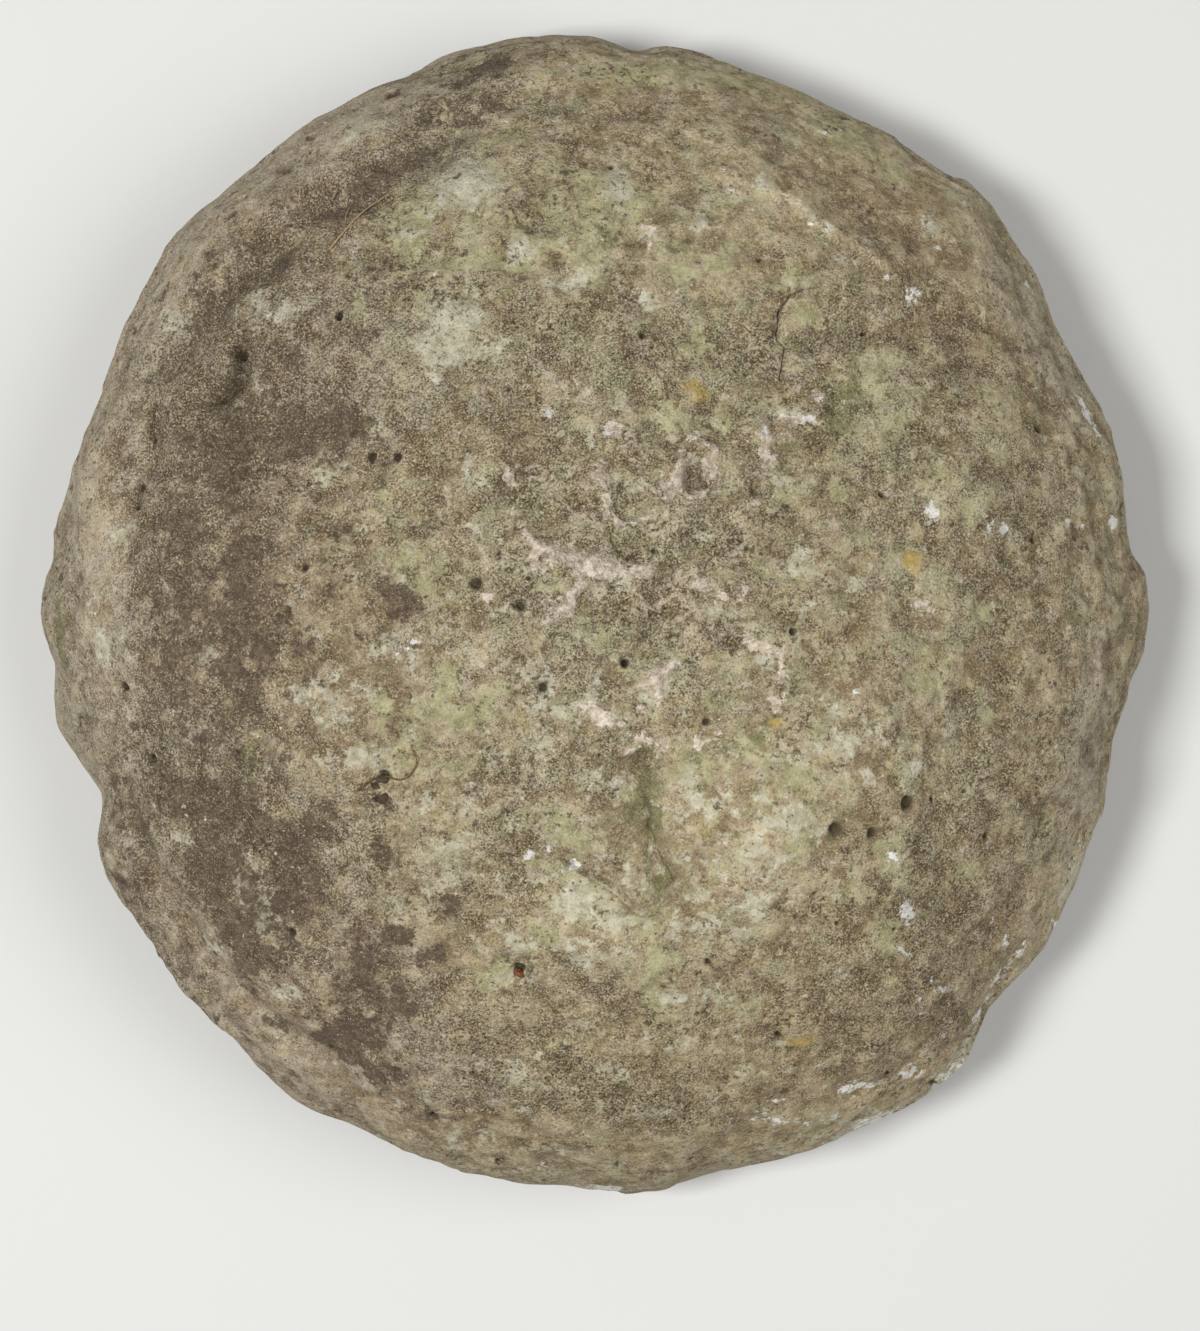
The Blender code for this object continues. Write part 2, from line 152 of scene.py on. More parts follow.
# Bowls in the skeleton, in millimetres: x, y, radius, depth
BOWLS = (
    (-2.2, 16.3, 3.1, 0.6), (6.9, 17.0, 4.3, 0.8), (8.8, 26.2, 5.7, 0.9), (23.7, 32.0, 4.6, 0.8),
    (-10.4, 9.8, 4.4, 0.7), (-1.7, 2.7, 4.3, 0.6), (-12.8, 22.3, 6.0, 0.8), (-16.1, 37.7, 6.2, 0.7),
    (15.1, 41.6, 5.8, 0.8), (28.1, 45.6, 6.3, 0.8), (16.4, 3.1, 6.2, 0.7), (24.6, 15.6, 5.3, 0.8),
    (39.8, 29.7, 3.4, 0.9), (14.1, -12.2, 3.4, 0.6), (22.2, -7.4, 6.2, 0.7), (34.2, -7.4, 6.6, 0.7),
    (0.7, -7.4, 5.3, 0.6), (-8.9, -9.8, 4.8, 0.6), (-18.5, 2.2, 3.4, 0.6), (-24.5, 95.0, 3.4, 0.6),
    (19.5, 91.0, 3.6, 0.8), (15.5, 99.5, 3.6, 0.6), (24.5, 65.0, 3.6, 0.6), (-14.0, 97.0, 7.0, 0.9),
    (50.0, 70.0, 8.0, 0.7), (98.0, 0.0, 6.5, 0.7), (-28.0, -25.0, 4.0, 0.5), (-45.0, -21.0, 4.5, 0.5),
    (28.0, -32.0, 3.5, 0.5), (-6.0, 80.0, 5.5, 0.6), (70.0, 29.0, 2.6, 0.7), (85.0, 50.0, 5.5, 0.6),
    (-44.0, -37.5, 3.4, 0.7), (-21.0, -89.0, 6.0, 0.8), (-52.0, -60.0, 4.5, 0.9),
    (63.0, 36.0, 6.0, 0.6), (49.5, 10.0, 4.5, 0.5), (79.0, -15.0, 6.0, 0.6), (100.0, -27.0, 5.0, 0.6),
    (66.0, -30.0, 6.0, 0.6),
)
BOWL_GAIN = 1.7
# A bowl's raised lip: height as a share of the depth, then place and width as shares of the radius
LIP_SHARE, LIP_PLACE, LIP_WIDTH = 0.4, 1.05, 0.22
# The ring of painted shade inside a bowl: place and width as shares of the radius
RING_PLACE, RING_WIDTH = 0.85, 0.17

# Lumps finer than the solid's: height and wavelength
LUMPS = ((0.0011, 0.014), (0.0011, 0.0065), (0.00055, 0.003))
# Where lumps grow lower towards the rim, by how much, and by how much on ground worn smooth
LUMPS_FADE = (0.84, 0.98)
RIM_EVENNESS = 0.6
SMOOTH_EVENNESS = 0.6

# Round borings and pits, in millimetres: x, y, width, depth
PITS = (
    (-90.8, 65.0, 2.4, 2.0), (76.7, -47.6, 4.2, 3.0), (58.4, -53.7, 4.4, 2.4), (67.5, -54.7, 2.9, 1.8),
    (6.6, -13.1, 2.6, 3.4), (23.5, 32.0, 4.8, 1.6), (47.5, -5.3, 1.9, 1.6), (26.3, -27.3, 1.9, 1.6),
    (40.1, 29.9, 4.3, 1.3), (70.1, 28.5, 1.7, 1.2), (36.4, 14.9, 1.4, 1.0), (111.4, 46.0, 2.2, 1.8),
    (109.1, 17.5, 1.3, 1.0), (91.8, -45.0, 1.3, 1.0), (83.0, -47.1, 1.3, 1.0), (97.9, -56.6, 1.7, 1.4),
    (-29.5, 6.3, 3.1, 2.6), (-18.7, 0.8, 2.4, 2.2), (-24.0, 13.5, 1.4, 1.1), (-16.6, 7.7, 1.3, 1.0),
    (13.8, 14.2, 1.7, 1.3), (7.3, 12.5, 1.4, 1.0), (-21.7, 53.6, 1.3, 1.0), (-55.6, 37.7, 2.2, 1.9),
    (-49.1, 37.6, 2.2, 1.9), (-62.1, 20.2, 3.4, 1.4), (-13.0, -18.6, 2.6, 2.2), (-71.4, 10.3, 1.7, 1.3),
    (-51.7, -40.4, 2.9, 2.2), (-53.7, -46.0, 1.7, 1.3), (-111.7, -37.3, 2.5, 1.6),
    (-118.8, -18.8, 2.5, 1.6), (-115.0, 30.9, 2.0, 1.5), (-115.9, 26.2, 2.0, 1.5),
    (-88.3, -35.1, 1.3, 1.0), (0.2, -35.7, 1.4, 1.0), (-64.0, 72.8, 2.4, 2.4), (-52.8, 132.9, 3.1, 1.8),
    (3.4, 110.7, 1.7, 1.0), (10.8, 66.8, 1.9, 1.5), (13.4, 63.8, 1.3, 1.0), (40.0, 86.5, 1.3, 0.9),
    (66.1, 68.7, 1.5, 1.1), (-75.8, -80.2, 2.0, 1.7), (-19.2, -88.6, 3.4, 2.2),
    (-31.3, -139.3, 1.3, 1.0), (-25.4, -138.9, 1.5, 1.2), (-41.4, -126.4, 1.5, 1.2),
    (-68.1, -112.6, 2.5, 1.8), (27.2, -86.3, 1.9, 1.3), (59.3, -77.1, 1.3, 1.0),
    (73.6, -79.0, 1.5, 1.1), (45.1, -105.7, 2.0, 1.4), (73.6, -117.3, 1.5, 1.2),
    (85.8, -120.8, 2.6, 1.8), (91.6, -106.1, 1.5, 1.2),
)

# Cracks, in millimetres: width, depth, points
CRACKS = (
    (0.55, 1.3, ((52.9, 78.9), (47.7, 78.3), (45.2, 74.4), (44.3, 66.2), (46.0, 64.5), (45.2, 56.8))),
    (0.8, 1.4, ((-112.2, 52.6), (-112.6, 47.0), (-111.5, 41.0))),
    (3.2, 1.1, ((-91.0, 66.5), (-91.5, 61.0), (-93.0, 57.0), (-96.5, 54.5))),
    (0.8, 1.0, ((11.5, -45.8), (12.9, -53.1), (15.5, -60.5), (19.0, -66.5))),
    (0.6, 0.9, ((-9.0, -60.8), (-1.8, -65.4), (4.8, -69.5), (9.0, -74.5), (15.0, -75.5))),
    (0.6, 0.7, ((-5.0, -57.0), (0.0, -56.0), (5.0, -55.0), (9.0, -52.5))),
    (0.6, 0.6, ((-58.0, -113.0), (-52.0, -119.0), (-46.0, -123.5), (-38.0, -124.5), (-26.0, -125.5))),
    (0.6, 0.6, ((-8.0, 117.0), (-2.0, 117.0))),
    (0.6, 0.7, ((30.0, 72.5), (35.0, 71.0), (38.0, 68.5))),
)

# Where the wall of a pit or a crack starts, as a share of its half-width
PIT_WALL, CRACK_WALL = 1.35, 1.2

# How far lines and holes wander from their listed points, and over what length
WANDER, WANDER_LENGTH = 0.0011, 0.006
HOLE_WANDER, HOLE_WANDER_LENGTH = 0.0005, 0.0024
# Where the wandering starts from, so that every run gives the same lines
WANDER_SEED = 7

# Basins of the bare skeleton: width, height of their borders, and how they are pushed about
BASIN_WIDTH = 0.0058
BASIN_RELIEF = 0.0006
BASIN_STIR, BASIN_STIR_LENGTH = 0.0022, 0.0045
BORDER_SHARE = 0.24
# Gaps in the borders: height and wavelength of the noises that break them
BORDER_BREAKS = ((1.6, 0.009), (0.8, 0.003))

# Thin growth layers, whose ends show as ledges on the flank
LAYER_THICKNESS = 0.0047
LEDGE_RELIEF = 0.0008
LEDGE_REACH = (0.82, 0.94)
LEDGE_ENDS = (1.75, 1.95)
# The share of a layer's thickness over which it swells out, and that over which it falls back
LEDGE_SWELL, LEDGE_FALL = (0.0, 0.75), (0.8, 1.0)
# How layers bend, and how their ledges come and go: height and wavelength
LAYER_BENDS = ((0.007, 0.06), (0.0016, 0.012))
LEDGE_BREAKS = (1.5, 0.025)

# Depth that counts as a full hollow, for the dirt and painted shade in it
HOLLOW_DEPTH = 0.0008

# The net of faces: a square patch on the top, with rows of faces round it
PATCH = 190
PATCH_SHARE = 1.5
FLANK_ROWS = 26
UNDER_ROWS = 15
FINE_MARGIN = 0.0022
FINEST_MARGIN = 0.0007
# Where all of the skin has finer faces: middle x and y, and half its width and length
SUMMIT_FIELD = (0.010, 0.014, 0.044, 0.038)


def ease(share):
    """0 up to 0, 1 from 1 on, and smooth between them."""
    share = np.clip(share, 0.0, 1.0)
    return share * share * (3.0 - 2.0 * share)


def between(value, limits):
    """0 up to the first limit, 1 from the second on, and smooth between them."""
    return ease((value - limits[0]) / (limits[1] - limits[0]))


def outline_radius(bearing):
    """Radius of the widest outline, eased between the listed points."""
    degrees = np.degrees(bearing) % 360.0
    corners = np.array(OUTLINE + ((OUTLINE[0][0] + 360, OUTLINE[0][1]),))
    after = np.clip(np.searchsorted(corners[:, 0], degrees, side="right"), 1, len(OUTLINE))
    start, end = corners[after - 1], corners[after]
    share = ease((degrees - start[:, 0]) / (end[:, 0] - start[:, 0]))
    return start[:, 1] + share * (end[:, 1] - start[:, 1])


def even_radius(bearing):
    """Radius of the outline with its corners evened out."""
    offsets = np.radians(np.linspace(-SMOOTHING, SMOOTHING, 9))
    return sum(outline_radius(bearing + offset) for offset in offsets) / len(offsets)


def section_angle(reach):
    """The section's angle at a reach, so that equal steps of reach are equal lengths of surface."""
    angle = np.linspace(0.0, math.pi / 2.0, 400)
    radius = MEAN_RADIUS * np.sin(angle) ** (2.0 / DOME_POWER)
    height = (HEIGHT - RIM_HEIGHT) * np.cos(angle)
    length = np.concatenate(([0.0], np.cumsum(np.hypot(np.diff(radius), np.diff(height)))))
    return np.interp(reach, length / length[-1], angle)


def dome_points(reach, bearing):
    """Points of the smooth dome. reach is 0 at the summit, 1 at the rim and 2 at the base's edge."""
    top = reach <= 1.0
    angle = section_angle(np.minimum(reach, 1.0))
    turn = np.clip(reach - 1.0, 0.0, 1.0) * math.pi / 2.0
    share = np.where(top, np.sin(angle) ** (2.0 / DOME_POWER),
                     1.0 - (1.0 - BASE_SHARE) * (1.0 - np.cos(turn)))
    rim = RIM_HEIGHT - RIM_TILT * np.cos(bearing)
    height = np.where(top, rim + (HEIGHT - rim) * np.cos(angle), rim * (1.0 - np.sin(turn)))
    edge = np.where(top, share ** RIM_ONLY, 1.0)
    radius = share * (edge * outline_radius(bearing) + (1.0 - edge) * even_radius(bearing))
    lean = np.where(top, 1.0 - share ** 2, 0.0)
    return np.column_stack((radius * np.cos(bearing) + SUMMIT.x * lean,
                            radius * np.sin(bearing) + SUMMIT.y * lean,
                            height))


def dome_normals(reach, bearing):
    """Outward directions of the smooth dome, from small steps along and across its section."""
    step = 0.004
    reach = np.maximum(reach, step)
    along = dome_points(reach + step, bearing) - dome_points(reach - step, bearing)
    across = dome_points(reach, bearing + step) - dome_points(reach, bearing - step)
    normals = np.cross(along, across)
    return normals / np.linalg.norm(normals, axis=1)[:, None]


def line_distance(x, y, points):
    """Distance to a line in plan. It is negative on the line's right-hand side."""
    nearest = np.full(x.shape, np.inf)
    side = np.ones(x.shape)
    for (ax, ay), (bx, by) in zip(points, points[1:]):
        dx, dy = bx - ax, by - ay
        share = np.clip(((x - ax) * dx + (y - ay) * dy) / (dx * dx + dy * dy), 0.0, 1.0)
        distance = np.hypot(x - ax - share * dx, y - ay - share * dy)
        closer = distance < nearest
        nearest = np.where(closer, distance, nearest)
        side = np.where(closer, np.sign(dx * (y - ay) - dy * (x - ax)), side)
    return nearest * side


def bump_at(distance, width):
    """A round rise in one direction: 1 at no distance, and falling away over a width."""
    return np.exp(-(distance / width) ** 2)


def stirred_places(points, height, length):
    """Places in plan pushed about by a noise, so that a line drawn on them wanders."""
    push = np.array([noise.noise_vector(Vector(point) / length) for point in points])
    return points[:, 0] + height * push[:, 0], points[:, 1] + height * push[:, 1]


def metres(points):
    """A line's points, from millimetres."""
    return [(x * MM, y * MM) for x, y in points]


def waviness(points, height, length):
    """Gentle random heights at a list of points."""
    return np.array([height * noise.noise(Vector(point) / length) for point in points])


def layer_edges(reach, bearing):
    """How far below each layer's edge a point is, as reach, with the drop there."""
    degrees = np.degrees(bearing)
    for level, first, last, drop in LAYER_EDGES:
        share = ((degrees - first) % 360.0) / (last - first)
        strength = drop * np.sqrt(np.clip(4.0 * share * (1.0 - share), 0.0, 1.0)) * (share < 1.0)
        wander = LAYER_WANDER * (np.sin(bearing * 7.0 + level * 90.0) + 0.5 * np.sin(bearing * 17.0))
        yield reach - level - wander, strength


def broad_relief(x, y):
    """Undulation, lumps and hollows wider than about a centimetre."""
    out = np.zeros(len(x))
    for height, length in WAVES:
        out += [height * noise.noise(Vector((a, b, length)) / length) for a, b in zip(x, y)]
    for cx, cy, radius, height in SWELLS:
        out += height * np.exp(-((x - cx) ** 2 + (y - cy) ** 2) / radius ** 2)
    return out


def sharp_relief(reach, bearing, x, y):
    """Ridges, grooves, bowls, broken steps and the ends of layers."""
    out = np.zeros(len(x))
    for height, width, points in ROLLS:
        out += height * bump_at(line_distance(x, y, points), width)
    for height, width, points in SKELETON:
        out += RIDGE_GAIN * height * MM * bump_at(line_distance(x, y, metres(points)), width * MM)
    for cx, cy, radius, depth in BOWLS:
        share = np.hypot(x - cx * MM, y - cy * MM) / (radius * MM)
        out -= BOWL_GAIN * depth * MM * np.clip(1.0 - share ** 2, 0.0, 1.0) ** 1.2
        out += LIP_SHARE * depth * MM * bump_at(share - LIP_PLACE, LIP_WIDTH)
    for drop, run, points in STEPS:
        distance = -line_distance(x, y, points)
        out -= drop * ease(distance / EDGE_WIDTH) * bump_at(distance, run)
    for below, drop in layer_edges(reach, bearing):
        lip = LAYER_LIP * bump_at(below, 0.5 * LAYER_RECESS)
        set_back = -bump_at(below, LAYER_RECESS)
        out += drop * (lip + (set_back - lip) * ease(below * SECTION_LENGTH / EDGE_WIDTH))
    return out


def bowl_shade_rings(x, y):
    """How near a point is to the foot of a bowl's wall, where painted shade goes, from 0 to 1."""
    ring = np.zeros(len(x))
    for cx, cy, radius, depth in BOWLS:
        share = np.hypot(x - cx * MM, y - cy * MM) / (radius * MM)
        ring = np.maximum(ring, min(1.0, 1.2 * depth) * bump_at(share - RING_PLACE, RING_WIDTH))
    return ring


def holes(x, y):
    """Depth of pits and cracks, and how dark a point is for being inside one, from 0 to 1."""
    depth = np.zeros(len(x))
    inside = np.zeros(len(x))
    for cx, cy, width, down in PITS:
        radius = width * MM / 2.0
        within = ease(PIT_WALL - np.hypot(x - cx * MM, y - cy * MM) / radius)
        depth = np.maximum(depth, down * MM * within)
        inside = np.maximum(inside, within * np.clip((down / width - 0.1) / 0.5, 0.3, 1.0))
    for width, down, points in CRACKS:
        within = ease(CRACK_WALL - np.abs(line_distance(x, y, metres(points))) / (width * MM / 2.0))
        depth = np.maximum(depth, down * MM * within)
        inside = np.maximum(inside, within * min(0.9, 0.25 + down / 3.0))
    return depth, inside


def skeleton_basins(points, share):
    """How near each point is to a basin's border, from 0 to 1, and each basin's own tone."""
    border = np.zeros(len(points))
    tone = np.zeros(len(points))
    for i in np.flatnonzero(share > 0.04):
        place = Vector(points[i])
        place += BASIN_STIR * noise.noise_vector(place / BASIN_STIR_LENGTH)
        far, middles = noise.voronoi(place / BASIN_WIDTH)
        near_border = min(max(1.0 - (far[1] - far[0]) / BORDER_SHARE, 0.0), 1.0)
        unbroken = 0.5 + sum(height * noise.noise(place / length) for height, length in BORDER_BREAKS)
        border[i] = share[i] * near_border * min(max(unbroken, 0.0), 1.0)
        tone[i] = share[i] * noise.noise(middles[0] * 7.3)
    return border, tone


def growth_ledges(points, reach):
    """The ends of thin growth layers on the flank, each a shallow step that hangs over the next."""
    level = points[:, 2] + sum(waviness(points, *bend) for bend in LAYER_BENDS)
    share = np.mod(level / LAYER_THICKNESS, 1.0)
    strength = between(reach, LEDGE_REACH) * (1.0 - between(reach, LEDGE_ENDS))
    strength *= np.clip(0.55 + waviness(points, *LEDGE_BREAKS), 0.0, 1.0)
    return LEDGE_RELIEF * strength * (between(share, LEDGE_SWELL) - between(share, LEDGE_FALL) - 0.5)


# ---------------------------------------------------------------- marks on the skin

# Patches, in millimetres: middle x, middle y, width, length, strength, and turn in degrees

# Dark mud in hollows
MUD = (
    (-97, 4, 14, 40, 0.45), (-101, 24, 14, 20, 0.4), (-94, 82, 26, 11, 0.4, 42),
    (-94, -15, 18, 26, 0.35), (-93, -58, 22, 12, 0.35, -30), (-46, 0, 14, 8, 0.6, -40),
    (-62, 5, 14, 10, 0.35), (-56, -88, 22, 16, 0.5), (-60, -116, 26, 8, 0.5, -28),
    (-43, 116, 7.5, 3, 0.85, 25), (-47, 113.5, 8.5, 4, 1.1, 28), (-53, 110.5, 8.5, 4.5, 1.1, 28),
    (-58, 104, 9, 7.5, 1.1, 35), (-62.5, 100, 6.5, 4.5, 1), (-69.5, 99.5, 9.5, 2.5, 1, 5),
    (-78.5, 95, 6, 2, 0.7, 40), (-86.5, 89.5, 3.5, 6.5, 0.9, -30), (-88.5, 81, 2.5, 7.5, 0.9, -10),
    (-80, 86.5, 7, 7.5, 0.9), (-56, 68, 7, 6.5, 0.9), (-61, 77.5, 2, 3, 0.8),
    (-78, 110.5, 3.5, 2.5, 0.8), (-53, 132, 5.5, 3.5, 0.8, 20), (-57, 89.5, 3.5, 3.5, 0.6),
    (-43, 125.5, 7.5, 7.5, 0.7), (-27, 140, 9, 9, 1, -10), (-34.5, 134.5, 12.5, 6, 0.6),
    (-30, 127, 14, 6, 0.9, 10), (-90.5, 64, 2.5, 6.5, 0.8), (-91.5, 56.5, 3, 5.5, 0.8, -20),
    (-76, 60, 19.5, 12, 0.35), (-69, 45, 14, 10, 1.1), (-82, 43, 20, 9, 0.9),
    (-91, 44, 12.5, 14.5, 0.75), (-72, 41, 22, 10.5, 0.55), (-63, 45.5, 7, 9.5, 1),
    (-82, 52, 12, 7.5, 0.45), (-87.5, 12, 10.5, 10.5, 1), (-88, -2.5, 8.5, 16, 1.15),
    (-84.5, -18, 6.5, 10.5, 1), (-100.5, 18.5, 7, 11, 0.95), (-91, 36, 8, 20.5, 0.8),
    (-98, -32.5, 7.5, 3.5, 0.8), (-49, 2.5, 10.5, 4, 0.8, -40), (-62.5, 20, 6.5, 6.5, 0.8),
    (-55, 38, 3, 3, 0.8), (-49, 37.5, 3, 3, 0.8), (-119, -19.5, 2, 2.5, 0.8),
    (-116.5, -29, 2, 2.5, 0.8), (-115.5, 26.5, 2, 3, 0.8), (-115, 0, 2.5, 4, 0.8),
    (-88, -35, 3.5, 2.5, 0.9), (-75, -35.5, 3, 2.5, 0.9), (-71, -9, 4, 2.5, 0.8),
    (-76, -0.5, 2, 3.5, 0.8), (-71.5, 10.5, 2.5, 2.5, 0.8), (-78, -7.5, 14.5, 7.5, 0.45),
    (-107, 2.5, 10, 22, 0.4), (-113, -36, 2, 2, 0.8), (-104, -48, 20, 8, 1.1, -5),
    (-91, -49.5, 18, 9, 1.1, -15), (-82, -51.5, 8.5, 6.5, 1, -40), (-96.5, -65.5, 16, 11.5, 1.15),
    (-88, -76.5, 10, 15, 1.1, -25), (-85.5, -87, 9, 5, 1, 20), (-75.5, -63, 10.5, 13.5, 0.95),
    (-76.5, -74.5, 12.5, 12.5, 0.85), (-69, -53, 10, 10.5, 0.8), (-118, -70.5, 8, 8.5, 0.75),
    (-121, -45, 10, 30, 0.4, 8), (-53.5, -59.5, 7.5, 4, 1, -35), (-36, -71.5, 6.5, 8, 1, -15),
    (-41, -85.5, 6, 6, 0.95), (-54.5, -80.5, 10.5, 15, 0.7), (-60, -105, 11, 11, 0.95),
    (-50, -97, 12.5, 6.5, 0.9, -15), (-80.5, -105, 8, 3, 0.8, -15), (-71.5, -107.5, 3.5, 3, 0.7),
    (-55, -115, 10.5, 3.5, 0.9, -10), (-46.5, -79, 4, 4.5, 0.8), (-62, -92, 12.5, 10, 0.6),
    (-41.5, -126, 3, 2.5, 0.9), (-24.5, -139, 3.5, 2, 0.8), (-51.5, -46, 3, 4, 0.8, 30),
    (-62, -112, 18, 5, 0.8, -30), (-92, 0, 52, 200, 0.25), (-92, -65, 40, 56, 0.2),
)
# Brown staining, and broad painted shade at the right and along the top
BROWN_STAIN_AND_SHADE = (
    (112, -14, 14, 26, 0.8), (76, -52, 12, 10, 0.6), (-56, -22, 14, 20, 0.6), (-62, -4, 20, 16, 0.5),
    (25, -94, 20, 10, 0.5), (-50, -8, 38, 22, 0.6), (-66, 8, 24, 24, 0.6), (-60, 90, 30, 20, 0.5),
    (-30, -130, 60, 14, 0.6, 5), (47, 95.5, 12, 3, 0.6, -15), (63, 88, 16, 3, 0.6, -28),
    (-45, -122, 36, 12, 0.8, 10), (30, -38, 26, 9, 0.7, 5), (45, 38, 12, 22, 0.8),
    (20, 33, 14, 10, 0.7), (58, 15, 10, 12, 0.8), (88, 3, 14, 10, 0.8), (-45, 0, 24, 14, 0.7, 20),
    (-104, -12, 26, 10, 0.7), (30, -98, 16, 8, 0.7), (10, 128, 40, 12, 0.6), (92, -72, 26, 34, 0.8),
    (62, -73, 20, 12, 0.8), (88, 70, 24, 16, 0.7), (14, 122, 32, 12, 0.6), (-78, 52, 36, 26, 0.7),
    (-62, -95, 40, 30, 0.9), (-66, -20, 30, 40, 0.6), (-72, 95, 50, 25, 0.9, 40),
    (-92, 35, 55, 110, 0.9, -8), (-85, -60, 55, 70, 0.8, 20), (66, 102, 36, 12, 0.9, -38),
    (84, 70, 20, 40, 0.7, 20), (-5, 108, 10.5, 12.5, 0.9), (-25, 116, 7, 11, 0.7),
    (-20.5, 96.5, 12.5, 12.5, 0.6), (19.5, 91, 5.5, 6, 0.9), (15.5, 99.5, 6, 4.5, 0.7),
    (-9, 67.5, 31.5, 14.5, 0.25), (57.5, 107, 9, 7.5, 1), (60, 99, 9, 8.5, 0.9),
    (75.5, 91.5, 13, 10.5, 1, -40), (85, 82, 10, 12.5, 0.8, -40), (3, 110.5, 2, 2.5, 1.2),
    (35.5, 58.5, 16, 17.5, 0.55), (69.5, 29, 3.5, 4, 1.2), (40.5, 29.5, 6, 4.5, 1.3),
    (69.5, -12.5, 9, 8.5, 0.9), (81, 20.5, 9.5, 5, 0.6), (74.5, 0, 9.5, 9.5, 0.6),
    (99.5, 0.5, 3.5, 4.5, 1.1), (86.5, 51.5, 19.5, 10, 0.5), (97.5, -16, 6, 7.5, 1),
    (111, 45.5, 3.5, 3.5, 1.1), (-19, -55, 17.5, 7.5, 0.8), (-17.5, -65.5, 14.5, 14.5, 0.7),
    (10.5, -124.5, 22.5, 12.5, 0.7), (49.5, -71.5, 13.5, 12.5, 0.9), (43.5, -85.5, 17, 14.5, 0.6),
    (90.5, -106, 7.5, 12.5, 0.8, 20), (81.5, -124, 8, 4, 0.8), (82.5, -89, 20, 15, 0.5),
    (102, -46.5, 19.5, 22, 0.45), (54, -20, 38, 34, 0.65), (38, -54, 40, 36, 0.55),
    (18, 94, 100, 34, 0.5), (-54, -18, 32, 32, 0.5), (18, -92, 50, 34, 0.3), (-60, -130, 30, 20, 0.5),
    (-112, -58, 30, 60, 0.3, 8), (4.5, -120.5, 6, 2.5, 1.1), (-14.5, -129.5, 27.5, 10, 0.45, 5),
    (10, 12, 9.5, 7, 0.5), (15, 2, 14.5, 7, 0.4), (-40.5, 64, 7.5, 14.5, 0.35),
    (-30.5, 51.5, 14.5, 9.5, 0.25), (-9, 31, 14.5, 9.5, 0.4), (28, 31, 5.5, 4.5, 1.1),
    (24.5, 16.5, 12, 9.5, 0.5), (39, 12, 12, 12, 0.45), (63.5, 17, 12, 12, 0.5),
    (88.5, -7.5, 19.5, 12, 0.5), (98.5, 12.5, 14.5, 14.5, 0.45), (24.5, -19.5, 14.5, 14.5, 0.45),
    (-30.5, 2, 14.5, 19, 0.35), (3, -46, 19, 14.5, 0.4), (-95, 30, 60, 120, 0.35),
    # The broadest rows at the right and along the top darken them as painted shade
    (85, 10, 60, 180, 0.3), (60, -108, 60, 30, 0.45, 10), (75, 100, 40, 16, 0.5, -40),
    (112, 20, 50, 170, 0.35), (20, 128, 130, 40, 0.22),
)
